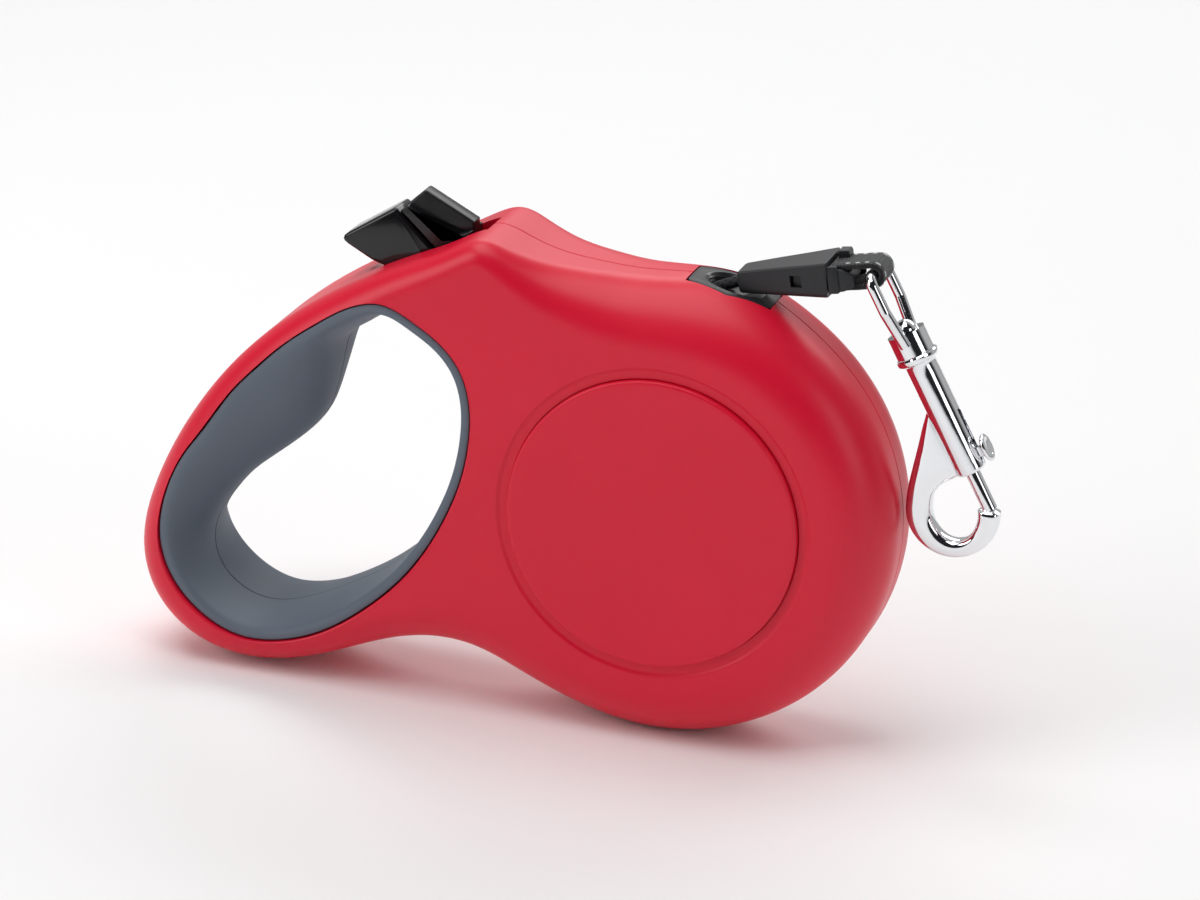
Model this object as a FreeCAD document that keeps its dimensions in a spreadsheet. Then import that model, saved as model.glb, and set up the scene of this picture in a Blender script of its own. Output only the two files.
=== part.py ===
import FreeCAD, Part
import math
import os
from FreeCAD import Placement, Rotation, Vector

# Retractable leash: a two-part casing with a hand opening, a sprung cord reel inside it,
# a thumb brake with a lock, and a swivel snap hook on a webbing loop.
# Working frame: origin on the reel axis, X towards the cord nozzle, Z up, Y across the
# casing, with the right-hand half at negative Y. A last step stands the leash on Z = 0.

doc = FreeCAD.newDocument("retractable_leash")
sheet = doc.addObject("Spreadsheet::Sheet", "sizes")

SIZES = [
    # casing
    ("reel_radius", 51.2, "radius of the round end of the casing"),
    ("half_thickness", 17.0, "mid-plane to the flat side of the casing"),
    ("casing_wall", 2.4, "wall of the reel chamber"),
    ("reel_round", 13.0, "edge rounding round the reel"),
    ("handle_round", 7.0, "edge rounding round the handle"),
    ("peak_round", 5.0, "edge rounding at the peak in front of the button"),
    ("grip_spacing", 26.8, "edge of the reel circle to the grip centre"),
    ("stance_angle", 3.2, "turn that puts reel and handle on the same floor"),
    # hand opening
    ("liner_gap", 0.3, "gap between the casing and the grip liner"),
    ("liner_recess", 0.7, "liner rim below the flat side"),
    ("liner_lip", 2.2, "width of the liner rim at the side"),
    ("parting_gap", 0.1, "gap between left and right soft liners"),
    # centre caps
    ("cap_radius", 32.4, "radius of the round centre cap"),
    ("cap_recess", 1.2, "depth of the seat that the cap snaps into"),
    ("cap_proud", 0.8, "cap standing above the flat side"),
    ("cap_gap", 0.2, "radial gap round the cap"),
    ("cap_edge_round", 0.6, "rounding of the outer edge of a cap"),
    ("groove_width", 2.1, "shallow ring round the cap seat"),
    ("groove_depth", 0.5, "depth of that ring"),
    # reel
    ("axle_radius", 4.0, "fixed axle"),
    ("axle_boss_wall", 2.4, "wall of the boss round the axle"),
    ("axle_boss_height", 1.5, "boss above the chamber wall"),
    ("running_gap", 0.05, "radial clearance of running fits"),
    ("ratchet_radius", 42.5, "tips of the ratchet teeth"),
    ("ratchet_teeth", 20, "teeth round the ratchet"),
    ("tooth_depth", 3.0, "depth of a ratchet gap"),
    ("tooth_gap", 6.8, "width of a ratchet gap"),
    ("flange_radius", 41.5, "plain flange of the reel"),
    ("flange_thickness", 2.0, "both flanges"),
    ("reel_side_gap", 2.0, "chamber wall to flange"),
    ("drum_radius", 29.0, "drum that the cord winds on"),
    ("drum_wall", 2.0, "wall of the spring cup"),
    ("hub_radius", 7.0, "hub round the axle"),
    ("wound_radius", 39.0, "outside of the wound cord"),
    ("cord_radius", 1.2, "cord"),
    ("spring_strip", 0.3, "thickness of the spiral spring strip"),
    ("spring_turns", 9, "turns of the spiral spring"),
    # screws and pins
    ("screw_radius", 1.1, "shank of a casing screw"),
    ("screw_head_radius", 2.2, "head of a casing screw"),
    ("screw_head_height", 1.4, "head of a casing screw"),
    ("screw_boss_radius", 2.9, "boss round a casing screw"),
    ("screw_gap", 0.1, "clearance round a casing screw"),
    ("screw_seat", 5.0, "mid-plane to the seat of the screw heads"),
    ("screw_reach", 8.0, "screw tip beyond the mid-plane"),
    ("pin_radius", 1.5, "pivot pins of the brake"),
    ("pin_boss_wall", 1.8, "wall of the boss round a pivot pin"),
    ("torsion_wire", 0.35, "wire radius of the button's spring"),
    # brake
    ("button_width", 8.5, "thumb paddle across the casing"),
    ("slot_gap", 0.35, "button to each wall of its slot"),
    ("lock_width", 4.2, "upright fin of the lock slider"),
    ("pawl_thickness", 2.0, "braking arm beside the ratchet"),
    # nozzle
    ("nozzle_length", 19.0, "bezel along the casing"),
    ("nozzle_end_width", 10.4, "bezel across its ends"),
    ("nozzle_mid_width", 15.0, "bezel across its middle"),
    ("nozzle_depth", 7.0, "bezel into the casing"),
    ("nozzle_gap", 0.15, "bezel to casing"),
    ("nozzle_proud", 0.8, "bezel above the reel circle"),
    ("funnel_length", 13.6, "mouth of the funnel along the casing"),
    ("funnel_width", 10.8, "mouth of the funnel across the casing"),
    ("throat_radius", 1.9, "hole that the cord runs through"),
    # connector and webbing
    ("sleeve_wall", 1.3, "wall of the connector sleeve"),
    ("webbing_width", 9.0, "webbing loop across the casing"),
    ("webbing_thickness", 1.3, "one layer of webbing"),
    ("webbing_gap", 0.35, "webbing to the bar it hangs on"),
    # swivel snap
    ("snap_lean", 27.2, "angle of the hanging snap from vertical"),
    ("eye_wire", 1.25, "radius of the eye wire"),
    ("eye_half_width", 6.3, "centre of an eye leg from the middle"),
    ("eye_corner", 2.4, "centre line radius of the eye corners"),
    ("collar_radius", 4.2, "collar of the eye"),
    ("collar_height", 5.0, "collar of the eye"),
    ("barrel_radius", 3.4, "barrel of the snap"),
    ("barrel_length", 27.5, "barrel of the snap"),
    ("barrel_flange", 4.7, "flange on top of the barrel"),
    ("bolt_radius", 1.6, "spring bolt"),
    ("bolt_travel", 8.5, "bolt travel that opens the snap"),
    ("hook_radius", 10.3, "outside of the hook bend"),
    ("hook_thickness", 5.0, "hook across its flat"),
    ("hook_edge_round", 1.4, "rounding of the edges of the hook bend"),
    ("knob_edge_round", 0.8, "rounding of the thumb knob"),
    ("bolt_spring_wire", 0.25, "wire radius of the bolt's spring"),
    ("throat_width", 9.9, "inside of the hook, across"),
    ("throat_height", 13.4, "inside of the hook, along"),
    ("rivet_radius", 1.5, "shank of the swivel rivet"),
]

for row, (alias, value, note) in enumerate(SIZES, start=1):
    sheet.set(f"A{row}", note)
    sheet.set(f"B{row}", str(value))
    sheet.setAlias(f"B{row}", alias)
doc.recompute()


def size(alias):
    return float(sheet.get(alias))


REEL_R = size("reel_radius")
HALF = size("half_thickness")
WALL = size("casing_wall")
ROUND = size("reel_round")
HANDLE_ROUND = size("handle_round")
PEAK_ROUND = size("peak_round")
GRIP = Vector(-(REEL_R + size("grip_spacing")), 0, 0)
CHAMBER_HALF = HALF - WALL
RIGHT, LEFT = -1, 1
ACROSS = Vector(0, 1, 0)


# ---------------------------------------------------------------- drawing helpers

def from_grip(dx, dz):
    """A point given from the centre of the grip."""
    return Vector(GRIP.x + dx, 0, GRIP.z + dz)


def from_reel(angle, rise=0.0):
    """A point given by its direction from the reel axis and its height over the reel circle."""
    turn = math.radians(angle)
    return Vector((REEL_R + rise) * math.cos(turn), 0, (REEL_R + rise) * math.sin(turn))


def closed_curve(points):
    curve = Part.BSplineCurve()
    curve.interpolate(Points=points, PeriodicFlag=True)
    return curve


def inset(points, distances):
    """Move each point of a clockwise closed curve inwards by its own distance."""
    curve = closed_curve(points)
    moved = []
    for point, distance in zip(points, distances):
        tangent = curve.tangent(curve.parameter(point))[0]
        inward = Vector(tangent.z, 0, -tangent.x)
        moved.append(point + inward * distance)
    return moved


def flat(point):
    return Vector(point.x, point.z, 0)


def sketch_at(name, y):
    sketch = doc.addObject("Sketcher::SketchObject", name)
    sketch.Placement = Placement(Vector(0, y, 0), Rotation(Vector(1, 0, 0), 90))
    return sketch


def curve_sketch(name, points, y):
    sketch = sketch_at(name, y)
    sketch.addGeometry(closed_curve([flat(p) for p in points]), False)
    return sketch


def corner_sketch(name, corners, y):
    """A closed outline of straight runs whose corners (x, z, radius) are rounded."""
    sketch = sketch_at(name, y)
    count = len(corners)
    cuts = []
    for index, (x, z, radius) in enumerate(corners):
        here = Vector(x, z, 0)
        before = Vector(*corners[index - 1][:2], 0) - here
        after = Vector(*corners[(index + 1) % count][:2], 0) - here
        before.normalize()
        after.normalize()
        half_turn = before.getAngle(after) / 2
        reach = radius / math.tan(half_turn)
        middle = before + after
        middle.normalize()
        arc_middle = here + middle * (radius / math.sin(half_turn) - radius)
        cuts.append((here + before * reach, arc_middle, here + after * reach, radius))
    for index, (start, middle, end, radius) in enumerate(cuts):
        if radius > 0:
            sketch.addGeometry(Part.Arc(start, middle, end), False)
        sketch.addGeometry(Part.LineSegment(end, cuts[(index + 1) % count][0]), False)
    return sketch


def plate(name, sketch, y_from, y_to):
    """The outline of a sketch made solid between two distances from the mid-plane."""
    solid = doc.addObject("Part::Extrusion", name)
    sketch.Placement = Placement(Vector(0, y_from, 0), Rotation(Vector(1, 0, 0), 90))
    solid.Base = sketch
    solid.DirMode = "Custom"
    solid.Dir = ACROSS if y_to > y_from else -ACROSS
    solid.LengthFwd = abs(y_to - y_from)
    solid.Solid = True
    return solid


def round_bar(name, radius, start, end):
    """A cylinder from start to end whose radius is an expression on the sheet."""
    bar = doc.addObject("Part::Cylinder", name)
    bar.setExpression("Radius", radius)
    bar.Height = (end - start).Length
    bar.Placement = Placement(start, Rotation(Vector(0, 0, 1), end - start))
    return bar


def cross_bar(name, radius, x, z, y_from, y_to):
    return round_bar(name, radius, Vector(x, y_from, z), Vector(x, y_to, z))


def block(name, low, high):
    box = doc.addObject("Part::Box", name)
    box.Length, box.Width, box.Height = high - low
    box.Placement = Placement(low, Rotation())
    return box


def loft(name, sketches, ruled=True):
    solid = doc.addObject("Part::Loft", name)
    solid.Sections = sketches
    solid.Solid = True
    solid.Ruled = ruled
    return solid


def fuse(name, pieces):
    joined = doc.addObject("Part::MultiFuse", name)
    joined.Shapes = pieces
    joined.Refine = True
    return joined


def cut(name, base, tools):
    result = doc.addObject("Part::Cut", name)
    result.Base = base
    result.Tool = tools[0] if len(tools) == 1 else fuse(name + "_tools", tools)
    return result


def common(name, first, second):
    result = doc.addObject("Part::MultiCommon", name)
    result.Shapes = [first, second]
    return result


def is_rim(edge):
    """A full circle that is not just the edge of a small hole."""
    return edge.Closed and edge.Length > 10


def rounded_edges(name, base, radius, chosen=is_rim):
    """Round the edges of base that the test picks."""
    doc.recompute()
    result = doc.addObject("Part::Fillet", name)
    result.Base = base
    edges = enumerate(base.Shape.Edges, start=1)
    result.Edges = [(number, radius, radius) for number, edge in edges if chosen(edge)]
    return result


nodes = {}


def node(name, solid, pose=None):
    """Register a finished piece under the name a person would use."""
    nodes[name] = (solid, pose or Placement())
    solid.Label = name
    return solid


# ---------------------------------------------------------------- casing outline

def casing_outline():
    """Clockwise outline with the edge rounding at each point: handle, peak, reel, belly."""
    rows = [
        (from_grip(-42.2, -19.0), HANDLE_ROUND),
        (from_grip(-39.0, -5.5), HANDLE_ROUND),
        (from_grip(-31.0, 10.0), HANDLE_ROUND),
        (from_grip(-20.5, 23.8), HANDLE_ROUND),
        (from_grip(-8.0, 35.2), HANDLE_ROUND),
        (from_grip(7.0, 44.8), HANDLE_ROUND),
        (from_grip(21.0, 51.4), 0.5 * (HANDLE_ROUND + PEAK_ROUND)),
    ]
    neck = [
        (130.6, 21.8, 0.02),
        (126.3, 20.6, 0.0),
        (123.8, 19.4, 0.0),
        (121.9, 17.2, 0.02),
        (119.8, 13.8, 0.12),
        (114.9, 8.2, 0.44),
        (107.0, 3.6, 0.75),
        (98.8, 1.0, 0.94),
    ]
    for angle, rise, share in neck:
        rows.append((from_reel(angle, rise), PEAK_ROUND + share * (ROUND - PEAK_ROUND)))
    for angle in range(90, -111, -20):
        rows.append((from_reel(angle), ROUND))
    for angle, rise, share in ((-129.4, 1.9, 0.95), (-139.6, 5.3, 0.75)):
        rows.append((from_reel(angle, rise), HANDLE_ROUND + share * (ROUND - HANDLE_ROUND)))
    belly = [(24.5, -35.2, 0.5), (13.4, -37.2, 0.25)]
    for dx, dz, share in belly:
        rows.append((from_grip(dx, dz), HANDLE_ROUND + share * (ROUND - HANDLE_ROUND)))
    heel = [
        (2.3, -40.9),
        (-6.0, -43.3),
        (-14.6, -44.3),
        (-25.6, -42.6),
        (-35.1, -36.8),
        (-40.8, -28.0),
    ]
    for dx, dz in heel:
        rows.append((from_grip(dx, dz), HANDLE_ROUND))
    return [point for point, _ in rows], [radius for _, radius in rows]


# Rows of the hand opening, clockwise: liner edge at the casing, and crest at the mid-plane.
OPENING = [
    (16.7, 43.2, 17.5, 38.5),
    (24.5, 39.8, 23.5, 36.3),
    (30.6, 35.4, 28.5, 33.2),
    (34.8, 30.0, 32.2, 28.6),
    (37.0, 22.0, 34.4, 21.7),
    (36.7, 13.5, 34.1, 13.9),
    (34.7, 4.5, 32.1, 5.3),
    (31.7, -3.0, 29.2, -1.9),
    (28.2, -9.6, 25.8, -8.1),
    (21.2, -19.3, 19.0, -17.2),
    (11.4, -28.3, 10.3, -24.4),
    (1.7, -34.5, 1.4, -29.2),
    (-8.8, -37.9, -8.2, -33.3),
    (-17.9, -37.9, -17.3, -34.6),
    (-27.7, -33.0, -24.9, -31.4),
    (-34.1, -25.3, -28.9, -26.0),
    (-36.6, -16.4, -29.3, -18.0),
    (-34.7, -5.2, -24.9, -10.0),
    (-30.4, 3.6, -19.8, -4.2),
    (-25.7, 9.9, -13.8, 0.7),
    (-17.9, 20.3, -7.2, 5.9),
    (-12.3, 26.0, -1.8, 12.0),
    (-6.6, 31.2, 0.7, 18.5),
    (-2.0, 34.7, 2.2, 24.5),
    (2.2, 37.5, 3.9, 30.2),
    (9.5, 41.7, 10.0, 34.9),
]

OUTLINE, OUTLINE_ROUND = casing_outline()
OPENING_EDGE = [from_grip(row[0], row[1]) for row in OPENING]
OPENING_CREST = [from_grip(row[2], row[3]) for row in OPENING]


def edge_inset(depth, radius):
    """How far a rounded edge has drawn in at a depth below the flat side."""
    if depth >= radius:
        return 0.0
    return radius - math.sqrt(radius ** 2 - (radius - depth) ** 2)


# ---------------------------------------------------------------- where things sit

SCREWS = [
    (REEL_R - 5.0, 28.0),
    (REEL_R - 5.0, -40.0),
    (REEL_R - 5.0, -98.0),
    (REEL_R + 4.2, -155.5),
    (REEL_R + 8.2, 122.6),
]
SCREW_PLACES = [
    Vector(r * math.cos(math.radians(a)), 0, r * math.sin(math.radians(a))) for r, a in SCREWS
]
BUTTON_PIVOT = from_grip(26.0, 46.2)
PAWL_PIVOT = from_grip(36.5, 38.5)
SLOT_HALF = size("button_width") / 2 + size("slot_gap")
NOZZLE_ANGLE = 75.0
NOZZLE_CENTRE = from_reel(NOZZLE_ANGLE, 0.6)
NOZZLE_OUT = from_reel(NOZZLE_ANGLE) / REEL_R
NOZZLE_ALONG = Vector(NOZZLE_OUT.z, 0, -NOZZLE_OUT.x)

# The cord leaves the winding on a tangent and runs straight out through the nozzle.
LEAD_RADIUS = size("wound_radius") + size("cord_radius") + 0.2
LEAD_EXIT = NOZZLE_CENTRE - NOZZLE_OUT * 0.6 - NOZZLE_ALONG * 2.0
EXIT_TURN = math.atan2(LEAD_EXIT.z, LEAD_EXIT.x)
LEAD_TURN = EXIT_TURN + math.acos(LEAD_RADIUS / LEAD_EXIT.Length)
LEAD_START = Vector(math.cos(LEAD_TURN), 0, math.sin(LEAD_TURN)) * LEAD_RADIUS
LEAD_ALONG = (LEAD_EXIT - LEAD_START).normalize()


# ---------------------------------------------------------------- casing halves

def casing_solid(side, name):
    """One half of the casing as a full block with its rounded edge."""
    turns = (0, 25, 45, 62, 77, 90)
    depths = [HALF] + [ROUND * (1 - math.sin(math.radians(t))) for t in turns]
    sections = []
    for number, depth in enumerate(depths):
        draw = [edge_inset(depth, radius) for radius in OUTLINE_ROUND]
        points = inset(OUTLINE, draw)
        sections.append(curve_sketch(f"{name}_section_{number}", points, side * (HALF - depth)))
    return loft(name + "_block", sections)


def nozzle_prism(name, margin, depth):
    """The long six-sided outline of the nozzle, sunk into the casing along its own normal."""
    half_length = size("nozzle_length") / 2 + margin
    half_end = size("nozzle_end_width") / 2 + margin
    half_middle = size("nozzle_mid_width") / 2 + margin
    sketch = doc.addObject("Sketcher::SketchObject", name + "_outline")
    corners = [
        Vector(-half_length, -half_end, 0),
        Vector(0, -half_middle, 0),
        Vector(half_length, -half_end, 0),
        Vector(half_length, half_end, 0),
        Vector(0, half_middle, 0),
        Vector(-half_length, half_end, 0),
    ]
    for start, end in zip(corners, corners[1:] + corners[:1]):
        sketch.addGeometry(Part.LineSegment(start, end), False)
    turn = Rotation(NOZZLE_ALONG, ACROSS, NOZZLE_OUT, "ZXY")
    sketch.Placement = Placement(NOZZLE_CENTRE, turn)
    prism = doc.addObject("Part::Extrusion", name)
    prism.Base = sketch
    prism.DirMode = "Custom"
    prism.Dir = -NOZZLE_OUT
    prism.LengthFwd = depth
    prism.LengthRev = 6.0
    prism.Solid = True
    return prism


def brake_chamber(side, name):
    """The slot for button and lock, and the way down to the ratchet."""
    corners = [
        (8.5, 46.5, 0.0),
        (17.0, 45.0, 0.0),
        (24.0, 42.0, 0.0),
        (30.8, 37.4, 0.0),
        (36.6, 31.5, 0.0),
        (44.0, 26.0, 0.0),
        (56.0, 44.0, 0.0),
        (42.0, 49.5, 0.0),
        (37.4, 53.0, 0.0),
        (37.4, 72.0, 0.0),
        (8.5, 72.0, 0.0),
    ]
    placed = [(GRIP.x + x, z, r) for x, z, r in corners]
    slot = plate(name + "_slot", corner_sketch(name + "_slot_outline", placed, 0), 0, side * SLOT_HALF)
    if side == LEFT:
        return [slot]
    arm_corners = [
        (32.4, 36.5, 0.0),
        (38.0, 32.5, 0.0),
        (46.0, 28.0, 0.0),
        (58.0, 40.0, 0.0),
        (50.0, 44.5, 0.0),
        (32.4, 43.0, 0.0),
    ]
    placed = [(GRIP.x + x, z, r) for x, z, r in arm_corners]
    arm = plate(name + "_arm", corner_sketch(name + "_arm_outline", placed, 0), -SLOT_HALF, -13.4)
    return [slot, arm]


def casing_half(side, name):
    solid = casing_solid(side, name)
    chamber_bar = cross_bar(
        name + "_chamber", "sizes.reel_radius - sizes.casing_wall", 0, 0, -CHAMBER_HALF, CHAMBER_HALF
    )
    chamber = rounded_edges(name + "_chamber_round", chamber_bar, ROUND - WALL)
    opening = curve_sketch(name + "_opening_outline", OPENING_EDGE, 0)
    hollow = [
        chamber,
        plate(name + "_opening", opening, 0, side * (HALF + 1)),
        nozzle_prism(name + "_nozzle_seat", size("nozzle_gap"), size("nozzle_depth") + 0.2),
        *brake_chamber(side, name + "_brake"),
    ]
    shell = cut(name + "_shell", solid, hollow)

    # Bosses grow from the wall: one round the axle, one round each screw.
    bosses = [
        cross_bar(name + "_axle_boss", "sizes.axle_radius + sizes.axle_boss_wall", 0, 0,
                  side * (CHAMBER_HALF + 0.2), side * (CHAMBER_HALF - size("axle_boss_height")))
    ]
    for number, place in enumerate(SCREW_PLACES):
        boss = cross_bar(f"{name}_boss_{number}", "sizes.screw_boss_radius",
                         place.x, place.z, 0, side * HALF)
        bosses.append(boss)
    for number, pivot in enumerate((BUTTON_PIVOT, PAWL_PIVOT)):
        inner = 13.6 if (number == 1 and side == RIGHT) else SLOT_HALF
        post = cross_bar(f"{name}_pivot_{number}", "sizes.pin_radius + sizes.pin_boss_wall",
                         pivot.x, pivot.z, side * inner, side * HALF)
        bosses.append(post)
    inside = common(name + "_bosses_inside", fuse(name + "_bosses", bosses), solid)
    body = fuse(name + "_with_bosses", [shell, inside])

    # Seats and holes.
    seat_from = side * (HALF - size("cap_recess"))
    groove_from = side * (HALF - size("groove_depth"))
    outside = side * (HALF + 1)
    holes = [
        cross_bar(name + "_cap_seat", "sizes.cap_radius + sizes.cap_gap", 0, 0, seat_from, outside),
        cross_bar(name + "_cap_ring", "sizes.cap_radius + sizes.cap_gap + sizes.groove_width",
                  0, 0, groove_from, outside),
        cross_bar(name + "_axle_seat", "sizes.axle_radius + 0.05", 0, 0, 0,
                  side * (CHAMBER_HALF - 0.3)),
        cross_bar(name + "_button_pin_hole", "sizes.pin_radius", BUTTON_PIVOT.x, BUTTON_PIVOT.z,
                  0, side * (CHAMBER_HALF - 2.0)),
        cross_bar(name + "_pawl_pin_hole", "sizes.pin_radius", PAWL_PIVOT.x, PAWL_PIVOT.z,
                  0, side * (CHAMBER_HALF)),
    ]
    for number, place in enumerate(SCREW_PLACES):
        reach = side * (HALF + 1) if side == LEFT else side * (size("screw_reach") + 1.0)
        hole = cross_bar(f"{name}_screw_hole_{number}", "sizes.screw_radius + sizes.screw_gap",
                         place.x, place.z, 0, reach)
        holes.append(hole)
        if side == LEFT:
            holes.append(cross_bar(f"{name}_screw_seat_{number}",
                                   "sizes.screw_head_radius + 0.3",
                                   place.x, place.z, size("screw_seat"), outside))
    if side == LEFT:
        holes.append(cross_bar(name + "_axle_screw_hole", "sizes.screw_radius + sizes.screw_gap + 0.4",
                               0, 0, 0, outside))
    return node(name, cut(name, body, holes))


casing_half(RIGHT, "right_casing")
casing_half(LEFT, "left_casing")


# ---------------------------------------------------------------- grip liners

def liner_half(side, name):
    """Soft liner of the hand opening: thin at its rim, swelling to a crest at the mid-plane."""
    depth = HALF - size("liner_recess")
    gap = size("liner_gap")
    outer_points = inset(OPENING_EDGE, [gap] * len(OPENING_EDGE))
    outer = plate(name + "_block", curve_sketch(name + "_outer", outer_points, 0),
                  side * size("parting_gap") / 2, side * depth)
    lip_points = inset(OPENING_EDGE, [gap + size("liner_lip")] * len(OPENING_EDGE))
    sections = []
    for number, share in enumerate((-0.05, 0.3, 0.55, 0.75, 0.9, 1.05)):
        swell = max(0.0, 1 - abs(share) ** 2.4)
        points = [lip + (crest - lip) * swell for lip, crest in zip(lip_points, OPENING_CREST)]
        sections.append(curve_sketch(f"{name}_hole_{number}", points, side * depth * share))
    return node(name, cut(name, outer, [loft(name + "_hole", sections)]))


liner_half(RIGHT, "right_grip_liner")
liner_half(LEFT, "left_grip_liner")


# ---------------------------------------------------------------- centre caps

def centre_cap(side, name):
    inner = side * (HALF - size("cap_recess"))
    outer = side * (HALF + size("cap_proud"))
    disc = cross_bar(name + "_disc", "sizes.cap_radius", 0, 0, inner, outer)

    def at_top(edge):
        return is_rim(edge) and abs(edge.CenterOfMass.y - outer) < 0.01

    eased = rounded_edges(name + "_eased", disc, size("cap_edge_round"), at_top)
    pocket = cross_bar(name + "_pocket", "sizes.screw_head_radius + 1.2", 0, 0,
                       inner, inner + side * 1.3)
    return node(name, cut(name, eased, [pocket]))


centre_cap(RIGHT, "right_centre_cap")
centre_cap(LEFT, "left_centre_cap")


# ---------------------------------------------------------------- axle and screws

AXLE_END = CHAMBER_HALF - 0.3
axle_bar = cross_bar("axle_bar", "sizes.axle_radius", 0, 0, -AXLE_END, AXLE_END)
axle_hole = cross_bar("axle_thread", "sizes.screw_radius + sizes.screw_gap", 0, 0, AXLE_END - 9, AXLE_END)
node("spool_axle", cut("spool_axle", axle_bar, [axle_hole]))


def screw(name, place, head_y, tip_y):
    """Pan head outside, shank inwards."""
    shank = cross_bar(name + "_shank", "sizes.screw_radius", place.x, place.z, tip_y, head_y)
    head = cross_bar(name + "_head", "sizes.screw_head_radius", place.x, place.z,
                     head_y, head_y + size("screw_head_height"))
    body = fuse(name + "_body", [shank, head])
    top = head_y + size("screw_head_height")
    drive = block(name + "_drive", Vector(place.x - 1.3, top - 0.6, place.z - 0.3),
                  Vector(place.x + 1.3, top + 0.2, place.z + 0.3))
    return cut(name + "_slotted", body, [drive])


axle_screw_seat = HALF - size("cap_recess")
axle_head = min(1.2, size("screw_head_height"))
axle_shank = cross_bar("axle_screw_shank", "sizes.screw_radius", 0, 0, AXLE_END - 8, axle_screw_seat)
axle_washer = cross_bar("axle_screw_head", "sizes.screw_head_radius + 0.8", 0, 0,
                        axle_screw_seat, axle_screw_seat + axle_head)
axle_drive = block("axle_screw_drive", Vector(-1.6, axle_screw_seat + axle_head - 0.5, -0.35),
                   Vector(1.6, axle_screw_seat + axle_head + 0.2, 0.35))
node("axle_screw", cut("axle_screw", fuse("axle_screw_body", [axle_shank, axle_washer]), [axle_drive]))

screws = [
    screw(f"casing_screw_{n}", place, size("screw_seat"), -size("screw_reach"))
    for n, place in enumerate(SCREW_PLACES)
]
casing_screws = doc.addObject("Part::Compound", "casing_screws")
casing_screws.Links = screws
node("casing_screws", casing_screws)


# ---------------------------------------------------------------- reel

FLANGE_OUT = CHAMBER_HALF - size("reel_side_gap")
FLANGE_IN = FLANGE_OUT - size("flange_thickness")
CUP_FLOOR = -FLANGE_IN + 2.0


def ratchet_gaps():
    """The gaps between the ratchet teeth, as one ring of blocks."""
    gaps = []
    depth = size("tooth_depth")
    half = size("tooth_gap") / 2
    teeth = int(size("ratchet_teeth"))
    for index in range(teeth):
        gap = block(f"ratchet_gap_{index}", Vector(size("ratchet_radius") - depth, -FLANGE_OUT - 0.5, -half),
                    Vector(size("ratchet_radius") + 2, -FLANGE_IN + 0.5, half))
        angle = RATCHET_PHASE + index * 360 / teeth
        gap.Placement = Placement(Vector(), Rotation(Vector(0, -1, 0), angle)).multiply(gap.Placement)
        gaps.append(gap)
    return gaps


# A gap faces the tip of the pawl when the button is pressed.
RATCHET_PHASE = 128.5
spool_solid = fuse("spool_solid", [
    cross_bar("spool_ratchet", "sizes.ratchet_radius", 0, 0, -FLANGE_OUT, -FLANGE_IN),
    cross_bar("spool_drum", "sizes.drum_radius", 0, 0, -FLANGE_IN, FLANGE_IN),
    cross_bar("spool_flange", "sizes.flange_radius", 0, 0, FLANGE_IN, FLANGE_OUT),
])
spool_cup = cut("spool_cup", spool_solid, [
    cross_bar("spool_cup_space", "sizes.drum_radius - sizes.drum_wall", 0, 0, CUP_FLOOR, FLANGE_OUT + 1),
])
spool_hub = cross_bar("spool_hub", "sizes.hub_radius", 0, 0, -FLANGE_OUT, CUP_FLOOR + 4)
spool_body = fuse("spool_body", [spool_cup, spool_hub])
spool_bore = cross_bar("spool_bore", "sizes.axle_radius + sizes.running_gap", 0, 0, -HALF, HALF)
node("spool", cut("spool", spool_body, [spool_bore, *ratchet_gaps()]))

cover_disc = cross_bar("cover_disc", "sizes.drum_radius - sizes.drum_wall - 0.1", 0, 0,
                       FLANGE_IN, FLANGE_OUT)
cover_hole = cross_bar("cover_hole", "sizes.axle_radius + 0.6", 0, 0, FLANGE_IN - 1, FLANGE_OUT + 1)
node("spring_cup_cover", cut("spring_cup_cover", cover_disc, [cover_hole]))

wound_outside = cross_bar("wound_outside", "sizes.wound_radius", 0, 0, -FLANGE_IN + 0.1, FLANGE_IN - 0.1)
wound_inside = cross_bar("wound_inside", "sizes.drum_radius + 0.05", 0, 0, -HALF, HALF)
node("wound_cord", cut("wound_cord", wound_outside, [wound_inside]))


def spiral_points(radius_in, radius_out, turns, shift):
    points = []
    steps = int(turns * 12)
    for step in range(steps + 1):
        angle = step * math.pi / 6
        radius = radius_in + (radius_out - radius_in) * step / steps + shift
        points.append(Vector(radius * math.cos(angle), 0, radius * math.sin(angle)))
    return points


def spiral_spring():
    """Steel strip wound from the axle out to the wall of the cup."""
    strip = size("spring_strip")
    inner_radius = size("hub_radius") + 0.8
    outer_radius = size("drum_radius") - size("drum_wall") - strip - 0.4
    inner = Part.BSplineCurve()
    turns = size("spring_turns")
    inner.interpolate(spiral_points(inner_radius, outer_radius, turns, 0.0))
    outer = Part.BSplineCurve()
    outer.interpolate(spiral_points(inner_radius, outer_radius, turns, strip))
    edges = [
        inner.toShape(),
        Part.makeLine(inner.EndPoint, outer.EndPoint),
        outer.toShape(),
        Part.makeLine(outer.StartPoint, inner.StartPoint),
    ]
    face = Part.Face(Part.Wire(edges))
    low = CUP_FLOOR + 0.5
    high = FLANGE_IN - 0.4
    solid = face.extrude(Vector(0, high - low, 0))
    solid.translate(Vector(0, low, 0))
    spring = doc.addObject("Part::Feature", "power_spring")
    spring.Shape = solid
    return spring


node("power_spring", spiral_spring())


# ---------------------------------------------------------------- brake

def grip_corners(rows):
    return [(GRIP.x + dx, dz, radius) for dx, dz, radius in rows]


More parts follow.
